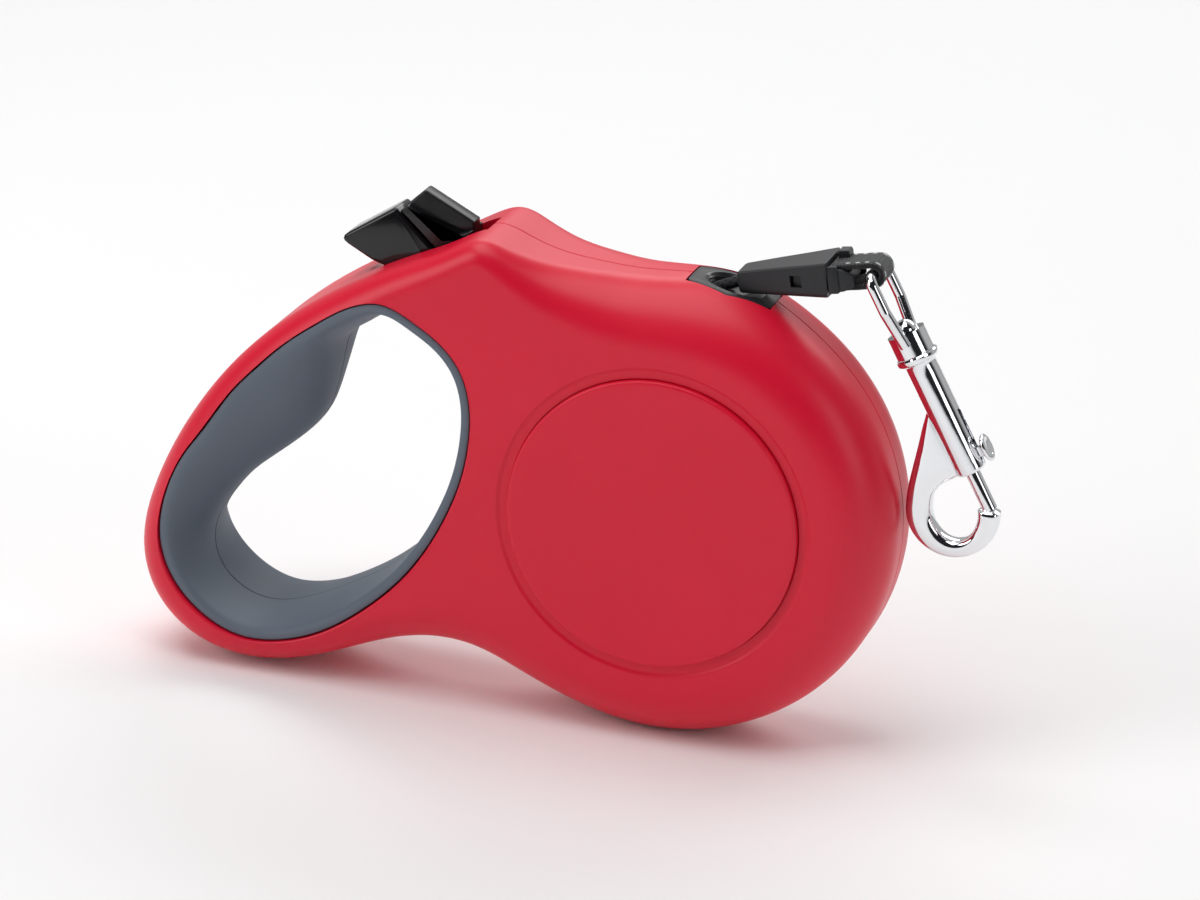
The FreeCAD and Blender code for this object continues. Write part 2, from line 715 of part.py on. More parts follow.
button_half = size("button_width") / 2
button_outline = corner_sketch("button_outline", grip_corners([
    (2.8, 53.2, 1.5),
    (16.2, 61.2, 0.8),
    (23.8, 53.4, 0.8),
    (27.6, 50.2, 1.2),
    (30.4, 45.4, 1.0),
    (30.2, 40.4, 0.6),
    (28.0, 40.8, 0.6),
    (23.4, 43.8, 1.0),
    (15.6, 47.0, 1.0),
    (10.5, 48.8, 1.0),
]), 0)
button_plate = plate("button_plate", button_outline, -button_half, button_half)
button_pin_hole = cross_bar("button_pin_hole", "sizes.pin_radius + sizes.running_gap",
                            BUTTON_PIVOT.x, BUTTON_PIVOT.z, -HALF, HALF)
spring_room = block("button_spring_room", Vector(BUTTON_PIVOT.x - 3.6, -1.8, BUTTON_PIVOT.z - 3.6),
                    Vector(BUTTON_PIVOT.x + 3.6, 1.8, BUTTON_PIVOT.z + 2.6))
node("brake_button", cut("brake_button", button_plate, [button_pin_hole, spring_room]))

lock_outline = corner_sketch("lock_outline", grip_corners([
    (17.3, 60.9, 0.3),
    (22.2, 65.2, 0.7),
    (33.4, 59.0, 0.4),
    (33.4, 56.4, 0.3),
    (32.6, 55.2, 0.3),
    (25.6, 52.5, 0.4),
]), 0)
lock_half = size("lock_width") / 2
lock_fin = plate("lock_fin", lock_outline, -lock_half, lock_half)
lock_base_outline = corner_sketch("lock_base_outline", grip_corners([
    (17.5, 60.6, 0.0),
    (18.9, 61.9, 0.0),
    (26.8, 54.9, 0.0),
    (33.2, 57.4, 0.0),
    (33.2, 55.4, 0.0),
    (25.6, 52.5, 0.0),
]), 0)
lock_base = plate("lock_base", lock_base_outline, -button_half + 0.1, button_half - 0.1)
node("lock_slider", fuse("lock_slider", [lock_fin, lock_base]))

pawl_arm_outline = corner_sketch("pawl_arm_outline", grip_corners([
    (34.0, 39.6, 0.6),
    (37.0, 41.0, 0.6),
    (50.5, 41.2, 1.0),
    (53.4, 38.0, 0.6),
    (52.0, 34.9, 0.6),
    (47.5, 37.4, 1.0),
    (36.0, 36.0, 0.6),
]), 0)
pawl_arm = plate("pawl_arm", pawl_arm_outline, -FLANGE_OUT, -FLANGE_OUT + size("pawl_thickness"))
pawl_hub = cross_bar("pawl_hub", "sizes.pin_radius + 1.3", PAWL_PIVOT.x, PAWL_PIVOT.z,
                     -FLANGE_OUT, button_half)
pawl_finger_outline = corner_sketch("pawl_finger_outline", grip_corners([
    (33.8, 38.5, 0.3),
    (32.0, 43.6, 0.6),
    (34.0, 44.4, 0.6),
    (37.0, 40.5, 0.3),
    (37.0, 38.5, 0.3),
]), 0)
pawl_finger = plate("pawl_finger", pawl_finger_outline, -button_half, button_half)
pawl_bore = cross_bar("pawl_bore", "sizes.pin_radius + sizes.running_gap",
                      PAWL_PIVOT.x, PAWL_PIVOT.z, -HALF, HALF)
pawl_body = fuse("pawl_body", [pawl_arm, pawl_hub, pawl_finger])
node("brake_pawl", cut("brake_pawl", pawl_body, [pawl_bore]))

node("button_pin", cross_bar("button_pin", "sizes.pin_radius", BUTTON_PIVOT.x, BUTTON_PIVOT.z,
                             -CHAMBER_HALF + 2.0, CHAMBER_HALF - 2.0))
node("pawl_pin", cross_bar("pawl_pin", "sizes.pin_radius", PAWL_PIVOT.x, PAWL_PIVOT.z,
                           -CHAMBER_HALF, CHAMBER_HALF))


def torsion_spring():
    """Wire coil round the button pin with a leg on the casing and a leg on the button."""
    wire = size("torsion_wire")
    coil = size("pin_radius") + 0.35 + wire
    pitch = 2 * wire + 0.15
    turns = 3.0
    helix = Part.makeHelix(pitch, pitch * turns, coil)
    section = Part.Wire(Part.makeCircle(wire, Vector(coil, 0, 0), Vector(0, 1, 0)))
    solid = Part.Wire(helix.Edges).makePipeShell([section], True, True)
    solid.rotate(Vector(), Vector(1, 0, 0), -90)
    solid.translate(Vector(BUTTON_PIVOT.x, -pitch * turns / 2, BUTTON_PIVOT.z))
    spring = doc.addObject("Part::Feature", "button_return_spring")
    spring.Shape = solid
    return spring


node("button_return_spring", torsion_spring())


# ---------------------------------------------------------------- cord nozzle

nozzle_block = nozzle_prism("nozzle_block", 0.0, size("nozzle_depth"))
nozzle_limit = doc.addObject("Part::Cylinder", "nozzle_limit")
nozzle_limit.setExpression("Radius", "sizes.reel_radius + sizes.nozzle_proud")
nozzle_limit.Height = 2 * HALF
nozzle_limit.Placement = Placement(Vector(0, HALF, 0), Rotation(Vector(1, 0, 0), 90))
nozzle_curved = common("nozzle_curved", nozzle_block, nozzle_limit)


def ellipse_sketch(name, centre, out, along, length, width):
    sketch = doc.addObject("Sketcher::SketchObject", name)
    major, minor = max(length, width) / 2, min(length, width) / 2
    sketch.addGeometry(Part.Ellipse(Vector(), major, minor), False)
    sketch.Placement = Placement(centre, Rotation(along, ACROSS, out, "ZXY"))
    return sketch


funnel_mouth = ellipse_sketch("funnel_mouth", NOZZLE_CENTRE + NOZZLE_OUT, NOZZLE_OUT, NOZZLE_ALONG,
                              size("funnel_length"), size("funnel_width"))
funnel_middle = ellipse_sketch("funnel_middle", NOZZLE_CENTRE - NOZZLE_OUT * 1.6, NOZZLE_OUT, NOZZLE_ALONG,
                               size("funnel_length") * 0.74, size("funnel_width") * 0.74)
funnel_end = ellipse_sketch("funnel_end", LEAD_EXIT - NOZZLE_OUT * 3.2, NOZZLE_OUT, NOZZLE_ALONG,
                            2 * size("throat_radius") + 1.2, 2 * size("throat_radius") + 0.4)
funnel = loft("funnel", [funnel_mouth, funnel_middle, funnel_end])
throat = round_bar("nozzle_throat", "sizes.throat_radius", LEAD_EXIT - LEAD_ALONG * 22,
                   LEAD_EXIT + LEAD_ALONG * 6)
node("cord_nozzle", cut("cord_nozzle", nozzle_curved, [funnel, throat]))


# ---------------------------------------------------------------- lead, connector, webbing

TAIL = Vector(15.4, 0, 51.4) - Vector(14.0, 0, 49.9) + from_reel(NOZZLE_ANGLE, 0.6)
EYE_REACH = 0.39258
EYE_BAR = from_reel(51.77, size("reel_radius") * EYE_REACH)
tail_along = (EYE_BAR - TAIL).normalize()
CONNECTOR_TURN = math.degrees(math.atan2(tail_along.z, tail_along.x))
CONNECTOR_POSE = Placement(TAIL, Rotation(Vector(0, -1, 0), CONNECTOR_TURN))
REACH = (EYE_BAR - TAIL).Length


def cord_lead():
    """Straight from the winding to the nozzle, then one easy bend into the connector."""
    inside = TAIL + tail_along * 7.0
    corner = LEAD_EXIT + LEAD_ALONG * 1.5
    first = (LEAD_START - corner).normalize()
    second = (inside - corner).normalize()
    half_turn = first.getAngle(second) / 2
    reach = 0.45 * (inside - corner).Length
    radius = reach * math.tan(half_turn)
    middle = (first + second).normalize()
    arc_middle = corner + middle * (radius / math.sin(half_turn) - radius)
    path = Part.Wire([
        Part.LineSegment(LEAD_START, corner + first * reach).toShape(),
        Part.Arc(corner + first * reach, arc_middle, corner + second * reach).toShape(),
        Part.LineSegment(corner + second * reach, inside).toShape(),
    ])
    section = Part.Wire(Part.makeCircle(size("cord_radius"), LEAD_START, -first))
    lead = doc.addObject("Part::Feature", "cord_lead")
    lead.Shape = path.makePipeShell([section], True, False)
    return lead


node("cord_lead", cord_lead())


def box_section(name, x, half_width, low, high, corner):
    """A rounded rectangle across the connector at x along it."""
    sketch = doc.addObject("Sketcher::SketchObject", name)
    w, r = half_width, corner
    runs = [
        (Vector(-w + r, low, 0), Vector(w - r, low, 0)),
        (Vector(w, low + r, 0), Vector(w, high - r, 0)),
        (Vector(w - r, high, 0), Vector(-w + r, high, 0)),
        (Vector(-w, high - r, 0), Vector(-w, low + r, 0)),
    ]
    centres = [
        Vector(w - r, low + r, 0),
        Vector(w - r, high - r, 0),
        Vector(-w + r, high - r, 0),
        Vector(-w + r, low + r, 0),
    ]
    slant = r / math.sqrt(2)
    leans = [(slant, -slant), (slant, slant), (-slant, slant), (-slant, -slant)]
    for index, (start, end) in enumerate(runs):
        sketch.addGeometry(Part.LineSegment(start, end), False)
        centre = centres[index]
        middle = centre + Vector(*leans[index], 0)
        sketch.addGeometry(Part.Arc(end, middle, runs[(index + 1) % 4][0]), False)
    sketch.Placement = Placement(Vector(x, 0, 0), Rotation(ACROSS, Vector(0, 0, 1), Vector(1, 0, 0), "ZXY"))
    return sketch


SLEEVE_END = REACH - 9.6
SLEEVE_TAIL = (3.6, -2.6, 2.4)
SLEEVE_HEAD = (6.3, -3.9, 3.9)
INSERT_GAP = 0.15


def sleeve_section(name, x, shrink, corner):
    """The sleeve's rounded outline at x along it, drawn in by shrink all round."""
    share = x / SLEEVE_END
    half, low, high = (a + (b - a) * share for a, b in zip(SLEEVE_TAIL, SLEEVE_HEAD))
    return box_section(name, x, half - shrink, low + shrink, high - shrink, corner)


sleeve_outer = loft("sleeve_outer", [
    sleeve_section("sleeve_tail", 0, 0, 1.0),
    sleeve_section("sleeve_head", SLEEVE_END, 0, 1.0),
])
sleeve_inner = loft("sleeve_inner", [
    sleeve_section("sleeve_inner_tail", 1.6, size("sleeve_wall"), 0.5),
    sleeve_section("sleeve_inner_head", SLEEVE_END + 1, size("sleeve_wall"), 0.5),
])
sleeve_hole = round_bar("sleeve_hole", "sizes.cord_radius + 0.7", Vector(-1, 0, 0), Vector(3, 0, 0))
sleeve_window = block("sleeve_window", Vector(12.0, -8, -1.3), Vector(14.4, 8, 1.3))
node("connector_sleeve", cut("connector_sleeve", sleeve_outer, [sleeve_inner, sleeve_hole, sleeve_window]),
     CONNECTOR_POSE)

WEB_IN = size("eye_wire") + size("webbing_gap")
WEB_OUT = WEB_IN + size("webbing_thickness")
WEB_HALF = size("webbing_width") / 2
insert_shrink = size("sleeve_wall") + INSERT_GAP
insert_wedge = loft("insert_wedge", [
    sleeve_section("insert_tail", 8.0, insert_shrink, 0.5),
    sleeve_section("insert_head", SLEEVE_END + 0.8, insert_shrink, 0.5),
])
shoulder_block = block("shoulder_block", Vector(SLEEVE_END + INSERT_GAP, -5.5, -WEB_OUT - 0.75),
                       Vector(SLEEVE_END + 2.6, 5.5, WEB_OUT + 0.75))
web_pocket = block("web_pocket", Vector(SLEEVE_END + 1.0, -WEB_HALF - 0.15, -WEB_OUT - 0.1),
                   Vector(SLEEVE_END + 4, WEB_HALF + 0.15, WEB_OUT + 0.1))
shoulder = cut("insert_shoulder", shoulder_block, [web_pocket])
cheeks = [
    block(f"insert_cheek_{side}", Vector(SLEEVE_END + 1.6, min(side * 5.3, side * (WEB_HALF + 0.15)), -2.7),
          Vector(SLEEVE_END + 5.4, max(side * 5.3, side * (WEB_HALF + 0.15)), 2.7))
    for side in (RIGHT, LEFT)
]
web_bar = block("web_bar", Vector(SLEEVE_END + 0.5, -WEB_HALF - 0.4, -WEB_IN + 0.15),
                Vector(SLEEVE_END + 4.8, WEB_HALF + 0.4, WEB_IN - 0.15))
insert_body = fuse("connector_insert", [insert_wedge, shoulder, *cheeks, web_bar])
node("connector_insert", insert_body, CONNECTOR_POSE)


def webbing_loop():
    """A flat band round the eye's bar, both ends gripped in the connector insert."""
    start = SLEEVE_END + 1.2
    half = WEB_HALF
    ring = round_bar("web_ring", "sizes.eye_wire + sizes.webbing_gap + sizes.webbing_thickness",
                     Vector(REACH, -half, 0), Vector(REACH, half, 0))
    runs = block("web_runs", Vector(start, -half, -WEB_OUT), Vector(REACH, half, WEB_OUT))
    room = round_bar("web_room", "sizes.eye_wire + sizes.webbing_gap",
                     Vector(REACH, -half - 1, 0), Vector(REACH, half + 1, 0))
    between = block("web_between", Vector(start - 1, -half - 1, -WEB_IN), Vector(REACH, half + 1, WEB_IN))
    return cut("webbing_loop", fuse("web_solid", [ring, runs]), [room, between])


node("webbing_loop", webbing_loop(), CONNECTOR_POSE)


# ---------------------------------------------------------------- swivel snap
# Own frame: origin on the eye's bar, Z up the barrel, X away from the casing.

SNAP_POSE = Placement(EYE_BAR, Rotation(Vector(0, -1, 0), size("snap_lean")))
COLLAR_TOP = -14.4
COLLAR_LOW = COLLAR_TOP - size("collar_height")
FLANGE_TOP = COLLAR_LOW - 0.1
BARREL_LOW = FLANGE_TOP - 0.6 - size("barrel_length")


def eye_loop():
    """Bent wire: up one leg, across the bar and down the other leg."""
    half, corner = size("eye_half_width"), size("eye_corner")
    foot = Vector(0, size("collar_radius") - 0.3, COLLAR_TOP - 2.2)
    knee = Vector(0, half, -8.0)
    shoulder = Vector(0, half, -corner)
    lean = corner * (1 - math.sqrt(0.5))
    crown = Vector(0, half - lean, -lean)
    top = Vector(0, half - corner, 0)

    def mirrored(point):
        return Vector(0, -point.y, point.z)

    path = Part.Wire([
        Part.LineSegment(foot, knee).toShape(),
        Part.LineSegment(knee, shoulder).toShape(),
        Part.Arc(shoulder, crown, top).toShape(),
        Part.LineSegment(top, mirrored(top)).toShape(),
        Part.Arc(mirrored(top), mirrored(crown), mirrored(shoulder)).toShape(),
        Part.LineSegment(mirrored(shoulder), mirrored(knee)).toShape(),
        Part.LineSegment(mirrored(knee), mirrored(foot)).toShape(),
    ])
    section = Part.Wire(Part.makeCircle(size("eye_wire"), foot, knee - foot))
    loop = doc.addObject("Part::Feature", "eye_loop")
    loop.Shape = path.makePipeShell([section], True, False, 2)
    return loop


collar = round_bar("eye_collar", "sizes.collar_radius", Vector(0, 0, COLLAR_LOW), Vector(0, 0, COLLAR_TOP))
collar_hole = round_bar("collar_hole", "sizes.rivet_radius + sizes.running_gap",
                        Vector(0, 0, COLLAR_LOW - 1), Vector(0, 0, COLLAR_TOP + 1))
node("swivel_eye", cut("swivel_eye", fuse("eye_solid", [eye_loop(), collar]), [collar_hole]), SNAP_POSE)

rivet_shank = round_bar("rivet_shank", "sizes.rivet_radius", Vector(0, 0, FLANGE_TOP - 2),
                        Vector(0, 0, COLLAR_TOP + 0.1))
rivet_head = doc.addObject("Part::Sphere", "rivet_head")
rivet_head.setExpression("Radius", "sizes.rivet_radius * 1.75")
rivet_head.Angle1 = 0
rivet_head.Placement = Placement(Vector(0, 0, COLLAR_TOP + 0.1), Rotation())
node("swivel_rivet", fuse("swivel_rivet", [rivet_shank, rivet_head]), SNAP_POSE)

HOOK_CENTRE = Vector(-7.7, 0, -54.2)
TIP_TOP = -56.6
hook_half = size("hook_thickness") / 2


def hook_plate():
    bend = cross_bar("hook_disc", "sizes.hook_radius", HOOK_CENTRE.x, HOOK_CENTRE.z, -hook_half, hook_half)
    disc = rounded_edges("hook_disc_round", bend, size("hook_edge_round"))
    web_outline = corner_sketch("hook_web_outline", [
        (-1.0, -29.0, 0.0),
        (-3.0, -31.5, 0.0),
        (HOOK_CENTRE.x - 7.9, HOOK_CENTRE.z + 6.6, 0.0),
        (HOOK_CENTRE.x, HOOK_CENTRE.z, 0.0),
        (-1.0, BARREL_LOW, 0.0),
    ], 0)
    web = plate("hook_web", web_outline, -hook_half, hook_half)
    hole_sketch = doc.addObject("Sketcher::SketchObject", "hook_hole_outline")
    throat = Part.Ellipse(Vector(), size("throat_height") / 2, size("throat_width") / 2)
    hole_sketch.addGeometry(throat, False)
    hole_centre = HOOK_CENTRE + Vector(0.6, 0, 0.2)
    upright = Rotation(Vector(0, 1, 0), size("snap_lean") - 6)
    hole = doc.addObject("Part::Extrusion", "hook_hole")
    hole.Base = hole_sketch
    hole.DirMode = "Custom"
    hole.Dir = ACROSS
    hole.LengthFwd = 20
    hole.LengthRev = 20
    hole.Solid = True
    lying = Rotation(Vector(0, 0, 1), Vector(1, 0, 0), ACROSS, "XZY")
    hole_sketch.Placement = Placement(hole_centre, upright.multiply(lying))
    gate = block("hook_gate", Vector(-3.6, -6, TIP_TOP), Vector(6, 6, BARREL_LOW))
    return cut("hook_plate", fuse("hook_solid", [disc, web]), [hole, gate])


barrel = round_bar("snap_barrel", "sizes.barrel_radius", Vector(0, 0, BARREL_LOW), Vector(0, 0, FLANGE_TOP))
barrel_flange = round_bar("snap_flange", "sizes.barrel_flange", Vector(0, 0, FLANGE_TOP - 1.6),
                          Vector(0, 0, FLANGE_TOP))
BOLT_ROOM_TOP = FLANGE_TOP - 3.0
bolt_bore = round_bar("bolt_bore", "sizes.bolt_radius + sizes.running_gap",
                      Vector(0, 0, BARREL_LOW - 1), Vector(0, 0, BOLT_ROOM_TOP))
tip_notch = round_bar("tip_notch", "sizes.bolt_radius + 0.15", Vector(0, 0, TIP_TOP - 0.7),
                      Vector(0, 0, TIP_TOP + 1))
KNOB_Z = BARREL_LOW + 3.6
slot = block("barrel_slot", Vector(0, -0.95, BARREL_LOW - 1),
             Vector(6, 0.95, KNOB_Z + size("bolt_travel") + 1.2))
rivet_seat = round_bar("rivet_seat", "sizes.rivet_radius",
                       Vector(0, 0, FLANGE_TOP - 2), Vector(0, 0, FLANGE_TOP + 1))
snap_solid = fuse("snap_solid", [hook_plate(), barrel, barrel_flange])
node("snap_hook", cut("snap_hook", snap_solid, [bolt_bore, tip_notch, slot, rivet_seat]), SNAP_POSE)

BOLT_TOP = BOLT_ROOM_TOP - size("bolt_travel") - 3.6
bolt_rod = round_bar("bolt_rod", "sizes.bolt_radius", Vector(0, 0, TIP_TOP - 0.5), Vector(0, 0, BOLT_TOP))
knob_stem = block("knob_stem", Vector(0.2, -0.8, KNOB_Z - 1.4), Vector(4.6, 0.8, KNOB_Z + 1.0))
knob_disc = round_bar("knob_disc", "sizes.bolt_radius * 1.45",
                      Vector(5.6, -1.3, KNOB_Z), Vector(5.6, 1.3, KNOB_Z))
knob_eased = rounded_edges("knob_eased", knob_disc, size("knob_edge_round"))
node("snap_bolt", fuse("snap_bolt", [bolt_rod, knob_stem, knob_eased]), SNAP_POSE)


def bolt_spring():
    """Compression spring between the top of the bolt and the end of the barrel bore."""
    wire = size("bolt_spring_wire")
    coil = size("bolt_radius") - wire - 0.05
    low = BOLT_TOP + wire + 0.05
    high = BOLT_ROOM_TOP - wire - 0.05
    helix = Part.makeHelix((high - low) / 7, high - low, coil)
    section = Part.Wire(Part.makeCircle(wire, Vector(coil, 0, 0), Vector(0, 1, 0)))
    solid = Part.Wire(helix.Edges).makePipeShell([section], True, True)
    solid.translate(Vector(0, 0, low))
    spring = doc.addObject("Part::Feature", "bolt_spring")
    spring.Shape = solid
    return spring


node("bolt_spring", bolt_spring(), SNAP_POSE)


# ---------------------------------------------------------------- stand and write

doc.recompute()
faults = [thing.Name for thing in doc.Objects if "Invalid" in thing.State or "Error" in thing.State]
faults += [name for name, (solid, _) in nodes.items() if solid.Shape.isNull() or not solid.Shape.isValid()]
if faults:
    raise RuntimeError(f"these failed: {faults}")

upright = Placement(Vector(), Rotation(Vector(0, -1, 0), size("stance_angle")))
for solid, pose in nodes.values():
    solid.Placement = upright.multiply(pose).multiply(solid.Placement)
doc.recompute()

whole = FreeCAD.BoundBox()
for solid, _ in nodes.values():
    whole.add(solid.Shape.optimalBoundingBox(False, False))
STAND = Vector(-whole.Center.x, -whole.Center.y, -whole.ZMin)
for solid, _ in nodes.values():
    solid.Placement = Placement(STAND, Rotation()).multiply(solid.Placement)
doc.recompute()

os.makedirs("parts", exist_ok=True)
for name, (solid, _) in nodes.items():
    if "Invalid" in solid.State or "Error" in solid.State or not solid.Shape.isValid():
        raise RuntimeError(f"{name} failed")
    solid.Shape.exportStep(f"parts/{name}.step")
    print(f"{name}: {len(solid.Shape.Solids)} solid(s), {solid.Shape.Volume:.1f} mm3")
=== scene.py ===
import math

import bmesh
import bpy
import numpy as np
from mathutils import Matrix, Vector


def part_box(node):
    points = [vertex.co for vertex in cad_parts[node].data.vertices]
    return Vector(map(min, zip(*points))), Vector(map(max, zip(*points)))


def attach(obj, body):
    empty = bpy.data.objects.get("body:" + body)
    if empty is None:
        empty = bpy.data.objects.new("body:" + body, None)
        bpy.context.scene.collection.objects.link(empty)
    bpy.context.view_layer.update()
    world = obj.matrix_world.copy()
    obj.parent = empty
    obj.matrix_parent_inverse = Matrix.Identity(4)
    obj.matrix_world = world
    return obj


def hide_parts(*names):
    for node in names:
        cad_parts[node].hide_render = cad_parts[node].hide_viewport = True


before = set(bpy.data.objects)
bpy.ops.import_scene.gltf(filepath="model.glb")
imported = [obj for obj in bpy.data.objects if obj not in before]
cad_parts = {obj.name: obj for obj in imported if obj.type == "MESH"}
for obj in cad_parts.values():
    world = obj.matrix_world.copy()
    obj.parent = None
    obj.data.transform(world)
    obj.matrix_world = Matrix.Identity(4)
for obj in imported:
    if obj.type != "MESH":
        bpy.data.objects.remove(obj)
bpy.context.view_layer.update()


# ---------------------------------------------------------------- how the leash stands
# The leash stands on the edge of its reel and the heel of its handle, turned 3.2 degrees from the level
# that it was drawn at. Pieces below give their points in millimetres from the reel axis at that level:
# x towards the nozzle, y across the casing, z up.

STANCE = math.radians(3.2)
axle_low, axle_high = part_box("spool_axle")
AXLE = (axle_low + axle_high) / 2


def turned(x, y, z):
    cos, sin = math.cos(STANCE), math.sin(STANCE)
    return Vector((x * cos - z * sin, y, x * sin + z * cos))


def stood(x, y, z):
    """Metres in the frame, from millimetres off the reel axis."""
    return AXLE + turned(x, y, z) / 1000


# ---------------------------------------------------------------- camera, floor and light
# A long lens stands about a metre off the right side, a little in front and above. The floor is plain
# pale paper, lit by large soft lamps on all sides. The room is white behind the leash and dark in front
# of it, which gives the chrome its dark streaks.

LENS = 140.0
CAMERA = (274.86, -908.09, 351.92)
AZIMUTH, ELEVATION = math.radians(17.81), math.radians(19.76)

lens = bpy.data.cameras.new("studio_camera")
lens.lens = LENS
lens.sensor_width = 36.0
lens.clip_end = 50.0
camera = bpy.data.objects.new("studio_camera", lens)
camera_right = turned(math.cos(AZIMUTH), math.sin(AZIMUTH), 0)
camera_back = turned(
    math.sin(AZIMUTH) * math.cos(ELEVATION),
    -math.cos(AZIMUTH) * math.cos(ELEVATION),
    math.sin(ELEVATION),
)
camera_up = camera_back.cross(camera_right)
camera.matrix_world = Matrix.Translation(stood(*CAMERA)) @ Matrix(
    (camera_right, camera_up, camera_back)
).transposed().to_4x4()
bpy.context.scene.collection.objects.link(camera)
bpy.context.scene.camera = camera
bpy.context.scene.view_settings.view_transform = "Standard"


def link(name, data):
    thing = bpy.data.objects.new(name, data)
    bpy.context.scene.collection.objects.link(thing)
    return thing


def lamp(name, place, width, height, power):
    light = bpy.data.lights.new(name, "AREA")
    light.shape = "RECTANGLE"
    light.size, light.size_y = width, height
    light.energy = power
    thing = link(name, light)
    facing = (Vector(place) - LIT_POINT).to_track_quat("Z", "Y")
    thing.matrix_world = Matrix.Translation(place) @ facing.to_matrix().to_4x4()


LIT_POINT = Vector((0, 0, 0.05))
lamp("lamp_over", (-0.25, -0.15, 1.3), 1.3, 0.9, 11)
lamp("lamp_left", (-1.1, -0.9, 0.75), 0.7, 1.0, 8)
lamp("lamp_right", (1.25, -0.55, 0.55), 0.5, 0.9, 3)
lamp("lamp_behind", (0.1, 1.1, 0.9), 1.6, 0.5, 7)

world = bpy.data.worlds.new("studio_room")
bpy.context.scene.world = world
world.use_nodes = True
room = world.node_tree
heading = room.nodes.new("ShaderNodeTexCoord")
side_on = room.nodes.new("ShaderNodeSeparateXYZ")
walls = room.nodes.new("ShaderNodeValToRGB")
room.links.new(heading.outputs["Generated"], side_on.inputs[0])
room.links.new(side_on.outputs["Y"], walls.inputs[0])
dark_wall, white_wall = walls.color_ramp.elements
dark_wall.position, dark_wall.color = 0.0, (0.04, 0.04, 0.045, 1)
white_wall.position, white_wall.color = 0.35, (1.0, 1.0, 1.0, 1)
room.links.new(walls.outputs[0], room.nodes["Background"].inputs["Color"])
room.nodes["Background"].inputs["Strength"].default_value = 0.45

floor_mesh = bpy.data.meshes.new("studio_floor")
FLOOR_HALF = 9
floor_corners = [(x * FLOOR_HALF, y * FLOOR_HALF, 0) for x, y in ((-1, -1), (1, -1), (1, 1), (-1, 1))]
floor_mesh.from_pydata(floor_corners, [], [(0, 1, 2, 3)])
studio_floor = link("studio_floor", floor_mesh)


class Value:
    """One socket of a material. Arithmetic on it adds Math nodes."""

    def __init__(self, socket):
        self.socket = socket

    def math(self, operation, *others):
        node = self.socket.id_data.nodes.new("ShaderNodeMath")
        node.operation = operation
        for slot, item in zip(node.inputs, others):
            if isinstance(item, Value):
                self.socket.id_data.links.new(item.socket, slot)
            else:
                slot.default_value = item
        return Value(node.outputs[0])

    def __add__(self, other):
        return self.math("ADD", self, other)

    def __mul__(self, other):
        return self.math("MULTIPLY", self, other)

    __radd__ = __add__
    __rmul__ = __mul__


class Finish:
    """A procedural material and the Principled shader it ends in."""

    def __init__(self, name, **constants):
        self.material = bpy.data.materials.new(name)
        self.material.use_nodes = True
        self.tree = self.material.node_tree
        self.shader = self.tree.nodes["Principled BSDF"]
        for key, number in constants.items():
            self.shader.inputs[key.replace("_", " ").title().replace("Ior", "IOR")].default_value = number
        self.place = self.node("ShaderNodeTexCoord", output="Object")

    def node(self, kind, settings=(), inputs=(), output=0):
        """Any node: its settings first, then its sockets' values or links."""
        made = self.tree.nodes.new(kind)
        for key, item in dict(settings).items():
            if key == "stops":
                while len(made.color_ramp.elements) < len(item):
                    made.color_ramp.elements.new(0.5)
                for stop, (position, colour) in zip(made.color_ramp.elements, item):
                    stop.position = position
                    stop.color = (*colour, 1)
            else:
                setattr(made, key, item)
        for key, item in dict(inputs).items():
            if isinstance(item, Value):
                self.tree.links.new(item.socket, made.inputs[key])
            else:
                made.inputs[key].default_value = item
        return Value(made.outputs[output])

    def noise(self, scale, detail=3.0, place=None):
        return self.node("ShaderNodeTexNoise", inputs={
            "Vector": place or self.place, "Scale": scale, "Detail": detail})

    def blend(self, share, first, second):
        """A colour between two colours."""
        return self.node("ShaderNodeMix", {"data_type": "RGBA"}, {
            0: share,
            6: first if isinstance(first, Value) else (*first, 1),
            7: second if isinstance(second, Value) else (*second, 1)}, output=2)

    def bump(self, height, distance, strength=1.0, onto=None):
        inputs = {"Height": height, "Distance": distance, "Strength": strength}
        if onto:
            inputs["Normal"] = onto
        return self.node("ShaderNodeBump", inputs=inputs)

    def set(self, **links):
        for key, item in links.items():
            self.tree.links.new(item.socket, self.shader.inputs[key.replace("_", " ").title()])
        return self


paper = Finish("floor_paper", roughness=0.9)
paper.set(base_color=paper.blend(paper.noise(3.0), (0.93, 0.93, 0.93), (0.96, 0.96, 0.96)))
floor_mesh.materials.append(paper.material)


# ---------------------------------------------------------------- casing halves
# Two injection-moulded ABS shells with a soft-touch crimson skin, screwed together on the middle plane.
# The edge is rounded wide round the reel, tighter on the handle and tightest at the peak by the button.
# A round seat and a shallow ring take the centre cap, and a lip swells round the nozzle.

REEL_R, HALF, GRIP_X = 51.2, 17.0, -78.0
REEL_ROUND, HANDLE_ROUND, PEAK_ROUND = 13.0, 7.0, 5.0
NOZZLE_ANGLE, NOZZLE_PROUD = 75.0, 0.6
BEZEL_END, BEZEL_MIDDLE, BEZEL_LENGTH, BEZEL_GAP = 5.2, 7.5, 9.5, 0.15


def from_reel(angle, rise=0.0):
    turn = math.radians(angle)
    return (REEL_R + rise) * math.cos(turn), (REEL_R + rise) * math.sin(turn)


